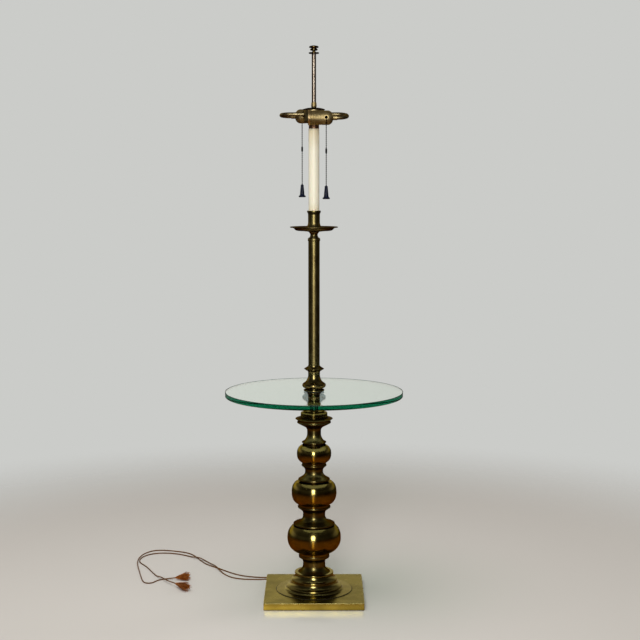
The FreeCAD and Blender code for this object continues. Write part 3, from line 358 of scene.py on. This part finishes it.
# the riser has browned, its cap and finial are a darker brass, and the collar under the cluster is bronzed
riserBrass = agedBrass("brownedBrassTube", {**brassLook, "metal": "#a89e90", "bloom": "#8e8070",
                       "edge": "#6a5644", "cloudMm": 20.0, "dents": 0.0, "grainDepth": 0.0,
                       "speckDepth": 0.0, "polish": (0.32, 0.38)})
darkBrass = agedBrass("darkerCapBrass", {**brassLook, "metal": "#6c5f3c", "bloom": "#4a3e24",
                      "edge": "#5e5030", "cloudMm": 12.0, "polish": (0.20, 0.28)})
bronzeCollar = agedBrass("bronzedCollar", {**brassLook, "metal": "#a27c5e", "bloom": "#80604a",
                         "edge": "#927254", "cloudMm": 12.0, "underDepth": 0.2, "polish": (0.46, 0.56)})


def plainMetal(name, tone, second, dullness, cloudMm, edge="#ffffff"):
    # plated or stamped metal, with a faint unevenness in colour and polish
    material, tree = newMaterial(name)
    place = addNode(tree, "ShaderNodeTexCoord")
    clouds = addNode(tree, "ShaderNodeTexNoise", {"Vector": place.outputs["Object"],
                     "Scale": perMetre(cloudMm), "Detail": 4.0})
    mixed = addNode(tree, "ShaderNodeMix", {0: clouds.outputs["Fac"], 6: colour(tone),
                    7: colour(second)}, data_type="RGBA")
    polish = addNode(tree, "ShaderNodeMapRange", {"Value": clouds.outputs["Fac"], "To Min": dullness[0],
                     "To Max": dullness[1]})
    bump = addNode(tree, "ShaderNodeBump", {"Height": clouds.outputs["Fac"], "Strength": 0.1,
                   "Distance": 0.0002})
    metal = addNode(tree, "ShaderNodeBsdfPrincipled", {"Base Color": mixed.outputs[2], "Metallic": 1.0,
                    "Roughness": polish.outputs["Result"], "Specular Tint": colour(edge),
                    "Normal": bump.outputs["Normal"]})
    addNode(tree, "ShaderNodeOutputMaterial", {"Surface": metal.outputs[0]})
    return material


def mouldedPlastic(name, tone, second, dullness, cloudMm, gloss, shine=0.5, pebbleMm=0.9):
    # moulded or glazed surface: even colour with slight mottling and a fine pebble
    material, tree = newMaterial(name)
    place = addNode(tree, "ShaderNodeTexCoord")
    clouds = addNode(tree, "ShaderNodeTexNoise", {"Vector": place.outputs["Object"],
                     "Scale": perMetre(cloudMm), "Detail": 3.0})
    mixed = addNode(tree, "ShaderNodeMix", {0: clouds.outputs["Fac"], 6: colour(tone),
                    7: colour(second)}, data_type="RGBA")
    pebble = addNode(tree, "ShaderNodeTexNoise", {"Vector": place.outputs["Object"],
                     "Scale": perMetre(pebbleMm)})
    bump = addNode(tree, "ShaderNodeBump", {"Height": pebble.outputs["Fac"], "Strength": 0.08,
                   "Distance": 0.0001})
    polish = addNode(tree, "ShaderNodeMapRange", {"Value": clouds.outputs["Fac"], "To Min": dullness[0],
                     "To Max": dullness[1]})
    plastic = addNode(tree, "ShaderNodeBsdfPrincipled", {"Base Color": mixed.outputs[2],
                      "Roughness": polish.outputs["Result"], "IOR": 1.5, "Specular IOR Level": shine,
                      "Coat Weight": gloss, "Coat Roughness": 0.1, "Normal": bump.outputs["Normal"]})
    addNode(tree, "ShaderNodeOutputMaterial", {"Surface": plastic.outputs[0]})
    return material


# heights are metres above the floor, from where the sleeve's ends begin to turn darker and yellower to
# where they are most so
sleeveLook = {"cream": ("#eae3cc", "#e6dec5"), "endTone": "#cdb988", "streakMm": (4.0, 4.0, 60.0),
              "lowEnd": (1.02, 0.99), "lowDepth": 0.6, "highEnd": (1.15, 1.20), "highDepth": 0.55}


def candleSleevePlastic(name, look):
    # extruded cream styrene, a little darker and yellower towards its ends, with a waxy shine
    material, tree = newMaterial(name)
    place = addNode(tree, "ShaderNodeTexCoord")
    height = addNode(tree, "ShaderNodeSeparateXYZ", {"Vector": place.outputs["Object"]})
    low = addNode(tree, "ShaderNodeMapRange", {"Value": height.outputs["Z"],
                  "From Min": look["lowEnd"][0], "From Max": look["lowEnd"][1],
                  "To Max": look["lowDepth"]})
    high = addNode(tree, "ShaderNodeMapRange", {"Value": height.outputs["Z"],
                   "From Min": look["highEnd"][0], "From Max": look["highEnd"][1],
                   "To Max": look["highDepth"]})
    ends = addNode(tree, "ShaderNodeMath", {0: low.outputs["Result"], 1: high.outputs["Result"]},
                   operation="ADD")
    drawn = addNode(tree, "ShaderNodeMapping", {"Vector": place.outputs["Object"],
                    "Scale": tuple(perMetre(size) for size in look["streakMm"])})
    streaks = addNode(tree, "ShaderNodeTexNoise", {"Vector": drawn.outputs["Vector"], "Scale": 1.0})
    cream = addNode(tree, "ShaderNodeMix", {0: streaks.outputs["Fac"], 6: colour(look["cream"][0]),
                    7: colour(look["cream"][1])}, data_type="RGBA")
    darkenedTone = addNode(tree, "ShaderNodeMix", {0: ends.outputs[0], 6: cream.outputs[2],
                   7: colour(look["endTone"])}, data_type="RGBA")
    bump = addNode(tree, "ShaderNodeBump", {"Height": streaks.outputs["Fac"], "Strength": 0.04,
                   "Distance": 0.0002})
    wax = addNode(tree, "ShaderNodeBsdfPrincipled", {"Base Color": darkenedTone.outputs[2], "Roughness": 0.38,
                  "IOR": 1.49, "Subsurface Weight": 0.05, "Subsurface Scale": 0.002,
                  "Normal": bump.outputs["Normal"]})
    addNode(tree, "ShaderNodeOutputMaterial", {"Surface": wax.outputs[0]})
    return material


glassLook = {"clear": "#ffffff", "shadow": "#dcebe2", "deep": "#4fd8c2", "density": 12.5}


def tableGlass(name, look):
    # clear float glass, 12 mm: almost no colour through it and deep green along it, at the polished edge
    material, tree = newMaterial(name)
    clear = addNode(tree, "ShaderNodeBsdfPrincipled", {"Base Color": colour(look["clear"]),
                    "Roughness": 0.01, "IOR": 1.52, "Transmission Weight": 1.0})
    shadowed = addNode(tree, "ShaderNodeBsdfTransparent", {"Color": colour(look["shadow"])})
    rays = addNode(tree, "ShaderNodeLightPath")
    letsLight = addNode(tree, "ShaderNodeMixShader", {0: rays.outputs["Is Shadow Ray"],
                        1: clear.outputs[0], 2: shadowed.outputs[0]})
    green = addNode(tree, "ShaderNodeVolumeAbsorption", {"Color": colour(look["deep"]),
                    "Density": look["density"]})
    addNode(tree, "ShaderNodeOutputMaterial", {"Surface": letsLight.outputs[0], "Volume": green.outputs[0]})
    return material


feltLook = {"dark": "#1c2a1c", "pale": "#3a4a35", "fibreMm": 1.0}


def pressedFelt(name, look):
    # wool felt: matt, with short tangled fibres about 1 mm long
    material, tree = newMaterial(name)
    place = addNode(tree, "ShaderNodeTexCoord")
    fibres = addNode(tree, "ShaderNodeTexNoise", {"Vector": place.outputs["Object"],
                     "Scale": perMetre(look["fibreMm"]), "Detail": 6.0, "Distortion": 1.5})
    mixed = addNode(tree, "ShaderNodeMix", {0: fibres.outputs["Fac"], 6: colour(look["dark"]),
                    7: colour(look["pale"])}, data_type="RGBA")
    bump = addNode(tree, "ShaderNodeBump", {"Height": fibres.outputs["Fac"], "Strength": 0.7,
                   "Distance": 0.0006})
    felt = addNode(tree, "ShaderNodeBsdfPrincipled", {"Base Color": mixed.outputs[2], "Roughness": 0.95,
                   "Sheen Weight": 0.3, "Normal": bump.outputs["Normal"]})
    addNode(tree, "ShaderNodeOutputMaterial", {"Surface": felt.outputs[0]})
    return material


finishes = {
    "sleeve": candleSleevePlastic("creamCandleSleeve", sleeveLook),
    "glass": tableGlass("floatGlass", glassLook),
    "felt": pressedFelt("pressedFelt", feltLook),
    "bells": mouldedPlastic("navyMouldedPull", "#040716", "#081024", (0.34, 0.44), 8.0, 0.0, 0.22),
    "chain": plainMetal("bluedBeadChain", "#0a0a10", "#050508", (0.30, 0.40), 3.0, "#101014"),
    "steel": plainMetal("zincPlatedSteel", "#a9a9a4", "#8b8b86", (0.35, 0.5), 6.0),
    "iron": plainMetal("castIron", "#2b2a28", "#3b3631", (0.6, 0.8), 4.0),
    "rubber": mouldedPlastic("blackWasher", "#111111", "#1c1b1a", (0.6, 0.75), 6.0, 0.0),
    "bushing": mouldedPlastic("brownBushing", "#1d130b", "#2b1c10", (0.3, 0.42), 6.0, 0.1),
    "porcelain": mouldedPlastic("glazedPorcelain", "#ded9cc", "#cfc9b8", (0.15, 0.25), 10.0, 0.3),
    "fibre": mouldedPlastic("pressedFibre", "#3a2d22", "#2a2019", (0.8, 0.9), 2.0, 0.0),
    "contact": plainMetal("brightStampedBrass", "#c9a24e", "#a88338", (0.2, 0.35), 5.0),
}

drawnNodes = ("pole_tube", "pole_cap", "drip_neck", "drip_plate", "candle_cup")
vaseNodes = ("vase", "glass_clamp", "pole_cup")
neckNodes = ("lower_neck", "middle_neck", "upper_neck", "tray_neck")
clusterNodes = ("cluster_body", "arm_left", "arm_right")
stampedNodes = ("front_socket_shell", "back_socket_shell", "front_socket_cap", "back_socket_cap",
                "chain_outlets", "riser_coupling")
nodeFinishes = {
    "base_plate": sheetBrass, "felt_pad": finishes["felt"], "base_weight": finishes["iron"],
    "pipe_nuts": finishes["steel"], "pipe_washers": finishes["steel"], "threaded_pipe": finishes["steel"],
    "cord_bushing": finishes["bushing"], "glass_table": finishes["glass"],
    "glass_washers": finishes["rubber"], "candle_sleeve": finishes["sleeve"],
    "cluster_collar": bronzeCollar, "cluster_cap": darkBrass, "riser_tube": riserBrass,
    "seat_rings": shadedRingBrass, "stepped_foot": footBrass, "tray_dish": shadedNeckBrass,
    "shade_disc": darkBrass, "finial": darkBrass, "socket_cores": finishes["porcelain"],
    "screw_shells": finishes["contact"], "centre_contacts": finishes["contact"],
    "socket_liners": finishes["fibre"], **{name: clusterBrass for name in clusterNodes},
    **{name: stampedBrass for name in stampedNodes}, **{name: drawnBrass for name in drawnNodes},
    **{name: shadedNeckBrass for name in neckNodes}, **{name: vaseBrass for name in vaseNodes},
}
for side in ("front", "back"):
    nodeFinishes[side + "_switch_drum"] = finishes["steel"]
    nodeFinishes[side + "_pull_bell"] = finishes["bells"]
    for part in ("_chain_lead", "_upper_chain", "_lower_chain"):
        nodeFinishes[side + part] = finishes["chain"]
for name, node in cadNodes.items():
    node.data.materials.clear()
    node.data.materials.append(nodeFinishes.get(name, turnedBrass))
print("finishes:", len(bpy.data.materials), "materials on the CAD nodes")

fineValues = {"sectionSides": 8, "mergeWithin": 1e-6, "sharpFrom": 50.0}


def addRing(build, radius, height, depth, width, segments):
    # a ring of oval section round Z, half sunk in the surface it sits on
    place = Matrix.Translation((radius, 0.0, height)) @ Matrix.Rotation(math.radians(90.0), 4, "X")
    section = bmesh.ops.create_circle(build, segments=fineValues["sectionSides"], radius=0.5,
                                      matrix=place @ Matrix.Diagonal((depth, width, 1.0, 1.0)))
    points = section["verts"]
    sides = list({edge for point in points for edge in point.link_edges})
    bmesh.ops.spin(build, geom=points + sides, cent=(0.0, 0.0, 0.0), axis=(0.0, 0.0, 1.0),
                   angle=2.0 * math.pi, steps=segments, use_merge=True)


def finishBuild(build, name):
    bmesh.ops.remove_doubles(build, verts=build.verts, dist=fineValues["mergeWithin"])
    bmesh.ops.recalc_face_normals(build, faces=build.faces)
    mesh = bpy.data.meshes.new(name)
    build.to_mesh(mesh)
    build.free()
    mesh.shade_smooth()
    mesh.set_sharp_from_angle(angle=math.radians(fineValues["sharpFrom"]))
    return mesh


def ringPiece(name, values, material):
    build = bmesh.new()
    addRing(build, values["radius"], values["height"], values["depth"], values["width"], values["segments"])
    addPiece(name, finishBuild(build, name), material, "stand")


def addWall(piece, thickness):
    wall = piece.modifiers.new("wall", "SOLIDIFY")
    wall.thickness = thickness
    wall.offset = 0.0


# The glass has its sharp corners ground off, which leaves a fine dull line round the rim; its dark green is
# painted shade, for the dark line the rim shows.
rimValues = {"radius": 0.2270, "height": 0.5376, "depth": 0.0018, "width": 0.0018, "segments": 180}
rimShadeFinish = mouldedPlastic("groundEdgePaintedShade", "#12302a", "#1b3d34", (0.5, 0.6), 6.0, 0.0)
ringPiece("groundGlassRim", rimValues, rimShadeFinish)

# A thin bright skin over the base's rounded top edge is a painted highlight, drawing the edge's shine as
# one unbroken line.
edgeValues = {"side": 0.2540, "top": 0.0185, "depth": 0.0040, "corner": 0.0035, "round": 0.0012,
              "proud": 0.00006, "wall": 0.0002, "segments": 5, "straight": 0.001}


def baseEdge(name, values):
    # a plate with rounded corners and a rounded top edge, of which only the rounds are kept
    build = bmesh.new()
    side = values["side"] + 2.0 * values["proud"]
    middle = values["top"] + values["proud"] - values["depth"] / 2.0
    bmesh.ops.create_cube(build, size=1.0, matrix=Matrix.Translation((0.0, 0.0, middle))
                          @ Matrix.Diagonal((side, side, values["depth"], 1.0)))
    upright = [edge for edge in build.edges
               if abs(edge.verts[0].co.z - edge.verts[1].co.z) > values["proud"]]
    bmesh.ops.bevel(build, geom=upright, offset=values["corner"], segments=values["segments"], profile=0.5,
                    affect="EDGES", material=-1)
    rim = [edge for edge in build.edges if min(point.co.z for point in edge.verts) > values["top"]]
    bmesh.ops.bevel(build, geom=rim, offset=values["round"], segments=values["segments"], profile=0.5,
                    affect="EDGES", material=-1)
    build.normal_update()
    flat = [face for face in build.faces if abs(face.normal.z) > 1.0 - values["straight"]
            or abs(face.normal.z) < values["straight"]]
    bmesh.ops.delete(build, geom=flat, context="FACES")
    return finishBuild(build, name)


# painted highlight: a pale bright brass for the shine along the edge
edgeHighlightBrass = agedBrass("paintedHighlightBrass", {**brassLook, "metal": "#d6ca84", "bloom": "#bcae68",
                     "edge": "#f0eccb", "cloudMm": 30.0, "dents": 0.0, "grainDepth": 0.0,
                     "speckDepth": 0.05, "underDepth": 0.0, "grooveDepth": 0.2, "polish": (0.42, 0.50)})
edgeHighlight = addPiece("paintedEdgeHighlight", baseEdge("paintedEdgeHighlight", edgeValues), edgeHighlightBrass, "stand")
addWall(edgeHighlight, edgeValues["wall"])

# A dark ring in the corner between the foot's flange and the plate is painted shade, where the flange
# shades the plate.
cornerShadeValues = {"radius": 0.0984, "height": 0.0188, "depth": 0.0014, "width": 0.0010, "segments": 120}
flangeCornerShade = mouldedPlastic("flangeCornerShade", "#0f0a05", "#1d150b", (0.7, 0.85), 4.0, 0.0)
ringPiece("flangeCornerShadeLine", cornerShadeValues, flangeCornerShade)

# The socket shells carry five rolled ribs and a rolled lip, and a rolled thread takes the bulb.
socketValues = {"mouth": 0.0146, "offset": 0.0460, "heights": {"front": 1.2294, "back": 1.2369},
                "shellRadius": 0.0174, "ribs": 5, "firstRib": 0.0132, "ribPitch": 0.0044,
                "ribHeight": 0.0009, "ribWidth": 0.0028, "lipHeight": 0.0026, "lipWidth": 0.0060,
                "threadRadius": 0.0132, "threadDepth": 0.0007, "threadPitch": 0.00363,
                "threadStart": 0.0060, "waveSteps": 8, "turns": 4.5, "wall": 0.0003, "segments": 40}


def laySocket(build, side):
    # built along Z from the mouth, then laid along X; the back one is turned half round the column
    bmesh.ops.rotate(build, verts=build.verts, matrix=Matrix.Rotation(math.radians(90.0), 3, "Y"))
    bmesh.ops.translate(build, verts=build.verts, vec=(-socketValues["mouth"], -socketValues["offset"],
                                                       socketValues["heights"][side]))
    if side == "back":
        bmesh.ops.rotate(build, verts=build.verts, matrix=Matrix.Rotation(math.radians(180.0), 3, "Z"))


def socketRibs(side):
    build = bmesh.new()
    for i in range(socketValues["ribs"]):
        addRing(build, socketValues["shellRadius"], socketValues["firstRib"] + i * socketValues["ribPitch"],
                socketValues["ribHeight"], socketValues["ribWidth"], socketValues["segments"])
    laySocket(build, side)
    return finishBuild(build, side + "SocketRibs")


def mouthLip(side):
    build = bmesh.new()
    addRing(build, socketValues["shellRadius"], socketValues["lipWidth"] / 2.0, socketValues["lipHeight"],
            socketValues["lipWidth"], socketValues["segments"])
    laySocket(build, side)
    return finishBuild(build, side + "MouthLip")


def bulbThread(side):
    # one pitch of the rolled wave, spun up into a helix
    build = bmesh.new()
    pitch = socketValues["threadPitch"]
    steps = socketValues["waveSteps"]
    points = []
    for i in range(steps + 1):
        out = socketValues["threadDepth"] * 0.5 * (1.0 - math.cos(2.0 * math.pi * i / steps))
        points.append(build.verts.new((socketValues["threadRadius"] + out, 0.0,
                                       socketValues["threadStart"] + pitch * i / steps)))
    sides = [build.edges.new((points[i], points[i + 1])) for i in range(steps)]
    bmesh.ops.spin(build, geom=points + sides, cent=(0.0, 0.0, 0.0), axis=(0.0, 0.0, 1.0),
                   dvec=(0.0, 0.0, pitch / socketValues["segments"]),
                   angle=2.0 * math.pi * socketValues["turns"],
                   steps=int(socketValues["segments"] * socketValues["turns"]))
    laySocket(build, side)
    return finishBuild(build, side + "BulbThread")


for side in ("front", "back"):
    addPiece(side + "SocketRibs", socketRibs(side), stampedBrass, "stand")
    addPiece(side + "MouthLip", mouthLip(side), lipHighlightBrass, "stand")
    thread = addPiece(side + "BulbThread", bulbThread(side), finishes["contact"], "stand")
    addWall(thread, socketValues["wall"])
    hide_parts("screw_shells")
print("fine parts: glass rim, base edge, polish line, socket ribs, lips and bulb threads")

# A pale matt floor fades into a pale backdrop. In the metal's reflections it is swapped for a darker,
# warmer glowing card: a painted reflection, with a painted glow close to the base and a painted streak of
# the tall light, so these values describe two floors in one.
floorValues = {"colour": "#c9c4bd", "radius": 2.4, "sides": 96, "gloss": 0.16, "dullness": 0.9,
               "darkTone": "#80541c", "nearTone": "#fff0c4", "streakTone": "#94742a", "patchMm": 260.0,
               "streakSlope": 0.065, "streakWidth": 0.07}
# each range: what it follows, from which of its values to which, and what it gives there
floorRanges = {
    "fade": ("away", (1.0, 2.1), (0.0, 1.0), "SMOOTHSTEP"),
    "near": ("reach", (0.145, 0.23), (1.0, 0.0), "LINEAR"),
    "low": ("slant", (0.45, 0.68), (0.0, 1.0), "LINEAR"),
    "uneven": ("patches", (0.35, 0.65), (0.55, 1.45), "LINEAR"),
    "far": ("away", (0.3, 1.8), (1.1, 0.275), "SMOOTHSTEP"),
    "litLeft": ("x", (-0.13, 0.13), (2.4, 1.0), "LINEAR"),
    "litFront": ("y", (-0.13, -0.10), (1.0, 0.4), "LINEAR"),
    "streak": ("y", (-0.15, -0.35), (0.0, 4.6), "LINEAR"),
    "shineFront": ("y", (-0.12, -0.125), (0.0, 1.0), "LINEAR"),
    "shineMiddle": ("offMiddle", (0.134, 0.124), (0.0, 1.0), "LINEAR"),
}

floorMesh = bpy.data.meshes.new("studioFloor")
floorBuild = bmesh.new()
bmesh.ops.create_circle(floorBuild, cap_ends=True, segments=floorValues["sides"],
                        radius=floorValues["radius"])
floorBuild.to_mesh(floorMesh)
floorBuild.free()
floorMaterial, floorTree = newMaterial("paleFloor")
floorPlace = addNode(floorTree, "ShaderNodeTexCoord").outputs["Object"]
floorWhere = addNode(floorTree, "ShaderNodeSeparateXYZ", {"Vector": floorPlace})
floorAway = addNode(floorTree, "ShaderNodeVectorMath", {0: floorPlace}, operation="LENGTH")
# how near the base's sides a place is, by the larger of its two distances from the middle
floorSides = addNode(floorTree, "ShaderNodeVectorMath", {0: floorPlace}, operation="ABSOLUTE")
floorSplit = addNode(floorTree, "ShaderNodeSeparateXYZ", {"Vector": floorSides.outputs["Vector"]})
floorReach = addNode(floorTree, "ShaderNodeMath", {0: floorSplit.outputs["X"], 1: floorSplit.outputs["Y"]},
                     operation="MAXIMUM")
floorSlant = addNode(floorTree, "ShaderNodeLayerWeight", {"Blend": 0.5})
floorPatches = addNode(floorTree, "ShaderNodeTexNoise", {"Vector": floorPlace,
                       "Scale": perMetre(floorValues["patchMm"]), "Detail": 3.0, "Roughness": 0.65})
floorSources = {"away": floorAway.outputs["Value"], "reach": floorReach.outputs[0],
                "slant": floorSlant.outputs["Facing"], "patches": floorPatches.outputs["Fac"],
                "x": floorWhere.outputs["X"], "y": floorWhere.outputs["Y"],
                "offMiddle": floorSplit.outputs["X"]}
shares = {}
for name, (source, limits, given, blend) in floorRanges.items():
    ranged = addNode(floorTree, "ShaderNodeMapRange", {"Value": floorSources[source],
                     "From Min": limits[0], "From Max": limits[1], "To Min": given[0],
                     "To Max": given[1]}, interpolation_type=blend)
    shares[name] = ranged.outputs["Result"]

# the pale floor, which shines only in front of the base, where it shows the base's face again
floorSurface = addNode(floorTree, "ShaderNodeBsdfPrincipled", {"Base Color": colour(floorValues["colour"]),
                       "Roughness": floorValues["gloss"], "IOR": 1.45})
floorMatt = addNode(floorTree, "ShaderNodeBsdfPrincipled", {"Base Color": colour(floorValues["colour"]),
                    "Roughness": floorValues["dullness"], "Specular IOR Level": 0.0})
floorStrip = addNode(floorTree, "ShaderNodeMath", {0: shares["shineFront"], 1: shares["shineMiddle"]},
                     operation="MULTIPLY")
floorShine = addNode(floorTree, "ShaderNodeMath", {0: floorStrip.outputs[0], 1: shares["near"]},
                     operation="MULTIPLY")
floorPaint = addNode(floorTree, "ShaderNodeMixShader", {0: floorShine.outputs[0],
                     1: floorMatt.outputs[0], 2: floorSurface.outputs[0]})

# the mirrored floor is uneven and darker far off; its painted glow, lit from the left and the front, is a
# polished floor's, so it shows only at a low angle, as in the base's upright sides
floorBright = addNode(floorTree, "ShaderNodeMath", {0: shares["near"], 1: shares["low"]},
                      operation="MULTIPLY")
floorSeen = addNode(floorTree, "ShaderNodeMix", {0: floorBright.outputs[0],
                    6: colour(floorValues["darkTone"]), 7: colour(floorValues["nearTone"])},
                    data_type="RGBA")
floorFarLight = addNode(floorTree, "ShaderNodeMath", {0: shares["uneven"], 1: shares["far"]},
                        operation="MULTIPLY")
floorGlow = addNode(floorTree, "ShaderNodeMath", {0: shares["litLeft"], 1: shares["litFront"]},
                    operation="MULTIPLY")
floorLight = addNode(floorTree, "ShaderNodeMix", {0: floorBright.outputs[0],
                     2: floorFarLight.outputs[0], 3: floorGlow.outputs[0]}, data_type="FLOAT")
# the painted streak is a narrow wedge from the middle towards the tall light
streakAngle = addNode(floorTree, "ShaderNodeMath", {0: floorWhere.outputs["X"], 1: floorWhere.outputs["Y"]},
                      operation="DIVIDE")
streakMiddle = addNode(floorTree, "ShaderNodeMath", {0: streakAngle.outputs[0],
                       1: floorValues["streakSlope"], 2: floorValues["streakWidth"]}, operation="COMPARE")
streakLight = addNode(floorTree, "ShaderNodeMath", {0: streakMiddle.outputs[0], 1: shares["streak"],
                      2: floorLight.outputs[0]}, operation="MULTIPLY_ADD")
streakShare = addNode(floorTree, "ShaderNodeMath", {0: streakMiddle.outputs[0], 1: shares["streak"]},
                      operation="MULTIPLY", use_clamp=True)
streakSeen = addNode(floorTree, "ShaderNodeMix", {0: streakShare.outputs[0], 6: floorSeen.outputs[2],
                     7: colour(floorValues["streakTone"])}, data_type="RGBA")
# painted reflection: an emitting card that glossy rays see in place of the floor
paintedFloorReflection = addNode(floorTree, "ShaderNodeEmission", {"Color": streakSeen.outputs[2],
                    "Strength": streakLight.outputs[0]})
floorRays = addNode(floorTree, "ShaderNodeLightPath")
floorMirrored = addNode(floorTree, "ShaderNodeMath", {0: floorRays.outputs["Is Glossy Ray"],
                        1: floorRays.outputs["Is Reflection Ray"]}, operation="MULTIPLY")
floorShown = addNode(floorTree, "ShaderNodeMixShader", {0: floorMirrored.outputs[0],
                     1: floorPaint.outputs[0], 2: paintedFloorReflection.outputs[0]})
floorGone = addNode(floorTree, "ShaderNodeBsdfTransparent")
floorMix = addNode(floorTree, "ShaderNodeMixShader", {0: shares["fade"], 1: floorShown.outputs[0],
                   2: floorGone.outputs[0]})
addNode(floorTree, "ShaderNodeOutputMaterial", {"Surface": floorMix.outputs[0]})
studioFloor = bpy.data.objects.new("studioFloor", floorMesh)
bpy.context.scene.collection.objects.link(studioFloor)
floorMesh.materials.append(floorMaterial)

# Seen directly or through the glass, the world is a plain backdrop. The metal mirrors a dark front and,
# behind the lamp, a pale band above the horizon, brighter on the left, with a little light from overhead.
worldTones = {"backdrop": "#cbccc9", "mirrored": "#f6efe4"}
worldRanges = {
    "behind": ("Y", (-0.2, 0.95), (0.07, 1.05), "SMOOTHSTEP"),
    "foot": ("Z", (0.0, 0.08), (0.12, 1.0), "SMOOTHSTEP"),
    "top": ("Z", (0.31, 0.44), (1.0, 0.26), "SMOOTHSTEP"),
    "across": ("X", (-0.3, 0.5), (1.0, 0.5), "LINEAR"),
    "overhead": ("Z", (0.2, 0.9), (0.0, 0.04), "SMOOTHSTEP"),
}

studioWorld = bpy.data.worlds.new("softStudio")
bpy.context.scene.world = studioWorld
studioWorld.use_nodes = True
worldTree = studioWorld.node_tree
worldTree.nodes.clear()
skyPlace = addNode(worldTree, "ShaderNodeTexCoord")
skyWay = addNode(worldTree, "ShaderNodeSeparateXYZ", {"Vector": skyPlace.outputs["Generated"]})
for name, (axis, limits, given, blend) in worldRanges.items():
    ranged = addNode(worldTree, "ShaderNodeMapRange", {"Value": skyWay.outputs[axis],
                     "From Min": limits[0], "From Max": limits[1], "To Min": given[0],
                     "To Max": given[1]}, interpolation_type=blend)
    shares[name] = ranged.outputs["Result"]
bandLight = addNode(worldTree, "ShaderNodeMath", {0: shares["foot"], 1: shares["top"]},
                    operation="MULTIPLY")
sidedBand = addNode(worldTree, "ShaderNodeMath", {0: bandLight.outputs[0], 1: shares["across"]},
                    operation="MULTIPLY")
bandShare = addNode(worldTree, "ShaderNodeMath", {0: shares["behind"], 1: sidedBand.outputs[0]},
                    operation="MULTIPLY")
mirroredLight = addNode(worldTree, "ShaderNodeMath", {0: bandShare.outputs[0], 1: shares["overhead"]},
                        operation="ADD")
mirroredGlow = addNode(worldTree, "ShaderNodeBackground", {"Color": colour(worldTones["mirrored"]),
                       "Strength": mirroredLight.outputs[0]})
backdropGlow = addNode(worldTree, "ShaderNodeBackground", {"Color": colour(worldTones["backdrop"]),
                       "Strength": 1.0})
worldRays = addNode(worldTree, "ShaderNodeLightPath")
seenThrough = addNode(worldTree, "ShaderNodeMath", {0: worldRays.outputs["Is Camera Ray"],
                      1: worldRays.outputs["Is Transmission Ray"]}, operation="MAXIMUM")
worldMix = addNode(worldTree, "ShaderNodeMixShader", {0: seenThrough.outputs[0],
                   1: mirroredGlow.outputs[0], 2: backdropGlow.outputs[0]})
addNode(worldTree, "ShaderNodeOutputWorld", {"Surface": worldMix.outputs[0]})

# A tall soft light by the camera, which the metal mirrors, and three soft ones that it doesn't.
lampValues = {
    "tallLight": {"place": (-0.30, -4.6, 1.75), "aim": (0.0, 0.0, 0.75), "size": (1.1, 2.6),
                  "power": 125.0, "reflected": True},
    "fillLight": {"place": (-0.30, -4.6, 2.0), "aim": (0.0, 0.0, 0.75), "size": (1.6, 1.6),
                  "power": 55.0, "reflected": False},
    "overheadLight": {"place": (-0.5, -0.4, 3.2), "aim": (0.0, 0.1, 0.0), "size": (2.6, 2.6),
                      "power": 75.0, "reflected": False},
    "sideLight": {"place": (2.6, 1.6, 2.0), "aim": (0.0, 0.0, 0.7), "size": (1.0, 1.6),
                  "power": 14.0, "reflected": False},
}
for name, values in lampValues.items():
    lightData = bpy.data.lights.new(name, "AREA")
    lightData.shape = "RECTANGLE"
    lightData.size, lightData.size_y = values["size"]
    lightData.energy = values["power"]
    light = bpy.data.objects.new(name, lightData)
    light.location = values["place"]
    aim = Vector(values["aim"]) - Vector(values["place"])
    light.rotation_euler = aim.to_track_quat("-Z", "Y").to_euler()
    light.visible_camera = False
    light.visible_glossy = values["reflected"]
    light.visible_transmission = False
    bpy.context.scene.collection.objects.link(light)
print("stage: floor, backdrop and", len(lampValues), "lights")
